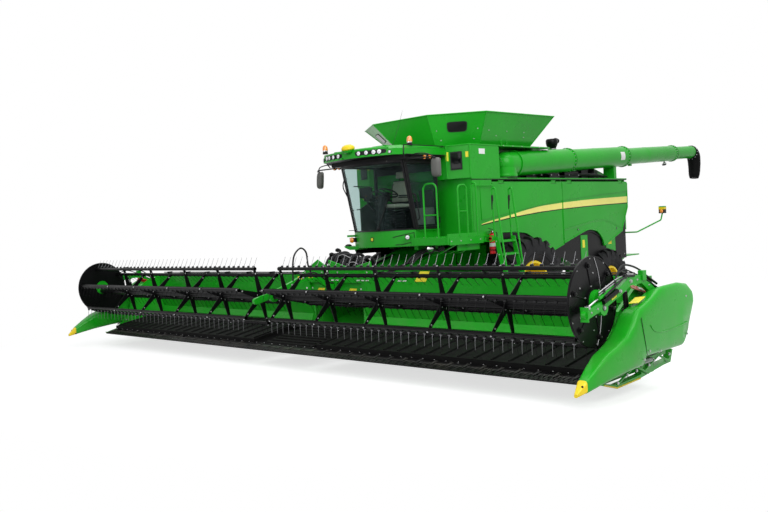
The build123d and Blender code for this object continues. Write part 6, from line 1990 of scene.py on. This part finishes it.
# the black sheets are painted shade, put over the green body where the arches are dark; the green plates and
# yellow labels sit on them
ARCH_SHADE_SHEETS = (
    # finish, distance from the middle, thickness, X-Z outline
    ("black", 1.562, 0.006, ((0.9, 1.3), (0.9, 2.3), (-1.7, 2.3), (-1.7, 1.3))),
    ("black", 1.562, 0.006, ((-1.7, 1.5), (-1.7, 2.3), (-4.7, 2.45), (-4.7, 1.3), (-2.2, 1.3))),
    ("green", 1.568, 0.01, ((-2.55, 1.32), (-2.55, 1.95), (-2.85, 1.95), (-2.85, 1.32))),
    ("green", 1.568, 0.01, ((-3.7, 1.6), (-3.7, 2.05), (-4.15, 2.0), (-4.15, 1.5))),
    ("label_yellow", 1.578, 0.002, ((-2.62, 1.66), (-2.62, 1.84), (-2.72, 1.84), (-2.72, 1.66))),
    ("label_yellow", 1.578, 0.002, ((-3.8, 1.68), (-3.8, 1.86), (-3.96, 1.86), (-3.96, 1.68))),
)


def arch_painted_shade():
    """Black sheets over the body's sides inside the wheel arches, painted as the shade under the panels'
    lower edges, with their ribs and blank labels.
    """
    piece = Piece("black")
    for _ in piece.both():
        for finish, y, thick, outline in ARCH_SHADE_SHEETS:
            piece.use(finish).plate("y", y, thick, outline)
        piece.use("steel").bolts([(x, 1.568, 1.4) for x in spread(-4.6, 0.8, 0.45)], OUT, 0.012)
        piece.use("hose").hose([(-2.2, 1.58, 1.9), (-2.6, 1.59, 2.0), (-3.0, 1.59, 2.02), (-3.4, 1.58, 1.9)],
                               0.011)
    piece.done("arch_painted_shade", "chassis", "black_paint")


def exhaust_stack():
    """Exhaust pipe with its flared rain cap and side outlet."""
    x, y, z = -2.6, 0.88, 3.6
    piece = Piece("black")
    pipe = [(0.2, 0.13), (0.23, 0.13), (0.24, 0.1), (0.46, 0.1), (0.5, 0.125), (0.56, 0.14), (0.63, 0.14),
            (0.66, 0.12),
            (0.67, 0.03)]
    piece.turned((x, y, z), UP, pipe, 32)
    piece.hose([(x - 0.02, y, z + 0.56), (x - 0.14, y, z + 0.63), (x - 0.24, y, z + 0.62)], 0.062, 20)
    piece.use("steel")
    for up in (0.3, 0.42):
        piece.disc((x, y, z + up), UP, 32, 0.103, (0.012, 0.103))
    piece.bolts([(x + 0.105, y, z + 0.306)], AHEAD, 0.01)
    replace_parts(piece.done("exhaust_pipe", "chassis", "black_paint", smooth=45), "exhaust_stack")


def deck_fittings():
    """Hoses, housings and pipes on the deck under the unloading tube."""
    piece = Piece("black")
    for rear, front, y, top in ((-1.3, -0.9, 1.2, 3.42), (-2.0, -1.6, 1.35, 3.4), (-2.9, -2.3, 1.3, 3.45),
                                (-3.5, -3.2, 1.2, 3.5)):
        piece.block((rear, front), (y - 0.08, y + 0.08), (3.285, top))
    piece.use("hose")
    for k in range(4):
        y, z = 1.16 + 0.08 * k, 3.32 + 0.02 * (k % 2)
        piece.hose([(-0.3, y, z), (-1.2, y + 0.05, z + 0.07), (-2.1, y - 0.03, z), (-3.1, y + 0.06, z + 0.05),
                    (-4.2, y, z)],
                   0.02)
    piece.use("steel").bolts([(x, 1.44, 3.36) for x in (-0.95, -1.25, -1.65, -1.95, -2.4, -2.8)], OUT, 0.012)
    piece.use("black").disc((-3.7, 1.22, 3.28), UP, 24, 0.12, (0.22, 0.12), (0.25, 0.1), (0.26, 0.03))
    piece.done("deck_fittings", "chassis", "black_paint", bevel=0.01)


# ---- the whole machine --------------------------------------------------------------------------

make_camera()
make_world()
make_floor()
make_lamps()
finish_nodes()
split_node("cab_shell", "plastic", SKIRT_TOP)
split_node("cab_roof", "green", GUTTER_TOP)
for row in SIDES:
    reel_tines(*row)
    reel_fittings(*row)
    disc_details(*row)
belt_slats()
knife()
belt_guides()
back_sheet_details()
roof_details()
roof_top_fittings()
mirror_heads()
mirror_details()
cab_front_details()
door_details()
cab_inside()
make_wheels()
divider_shells()
divider_details()
skid_details()
arm_fittings()
centre_bracket()
cylinder_details()
side_panels()
behind_panels()
tank_details()
extension_walls()
extension_details()
hood_details()
chopper_details()
auger_details()
rubber_spout()
screen_details()
platform_details()
extinguisher_details()
ladder_details()
axle_details()
feeder_details()
operator_seat()
arch_painted_shade()
exhaust_stack()
deck_fittings()
bpy.context.scene.view_settings.view_transform = "Standard"
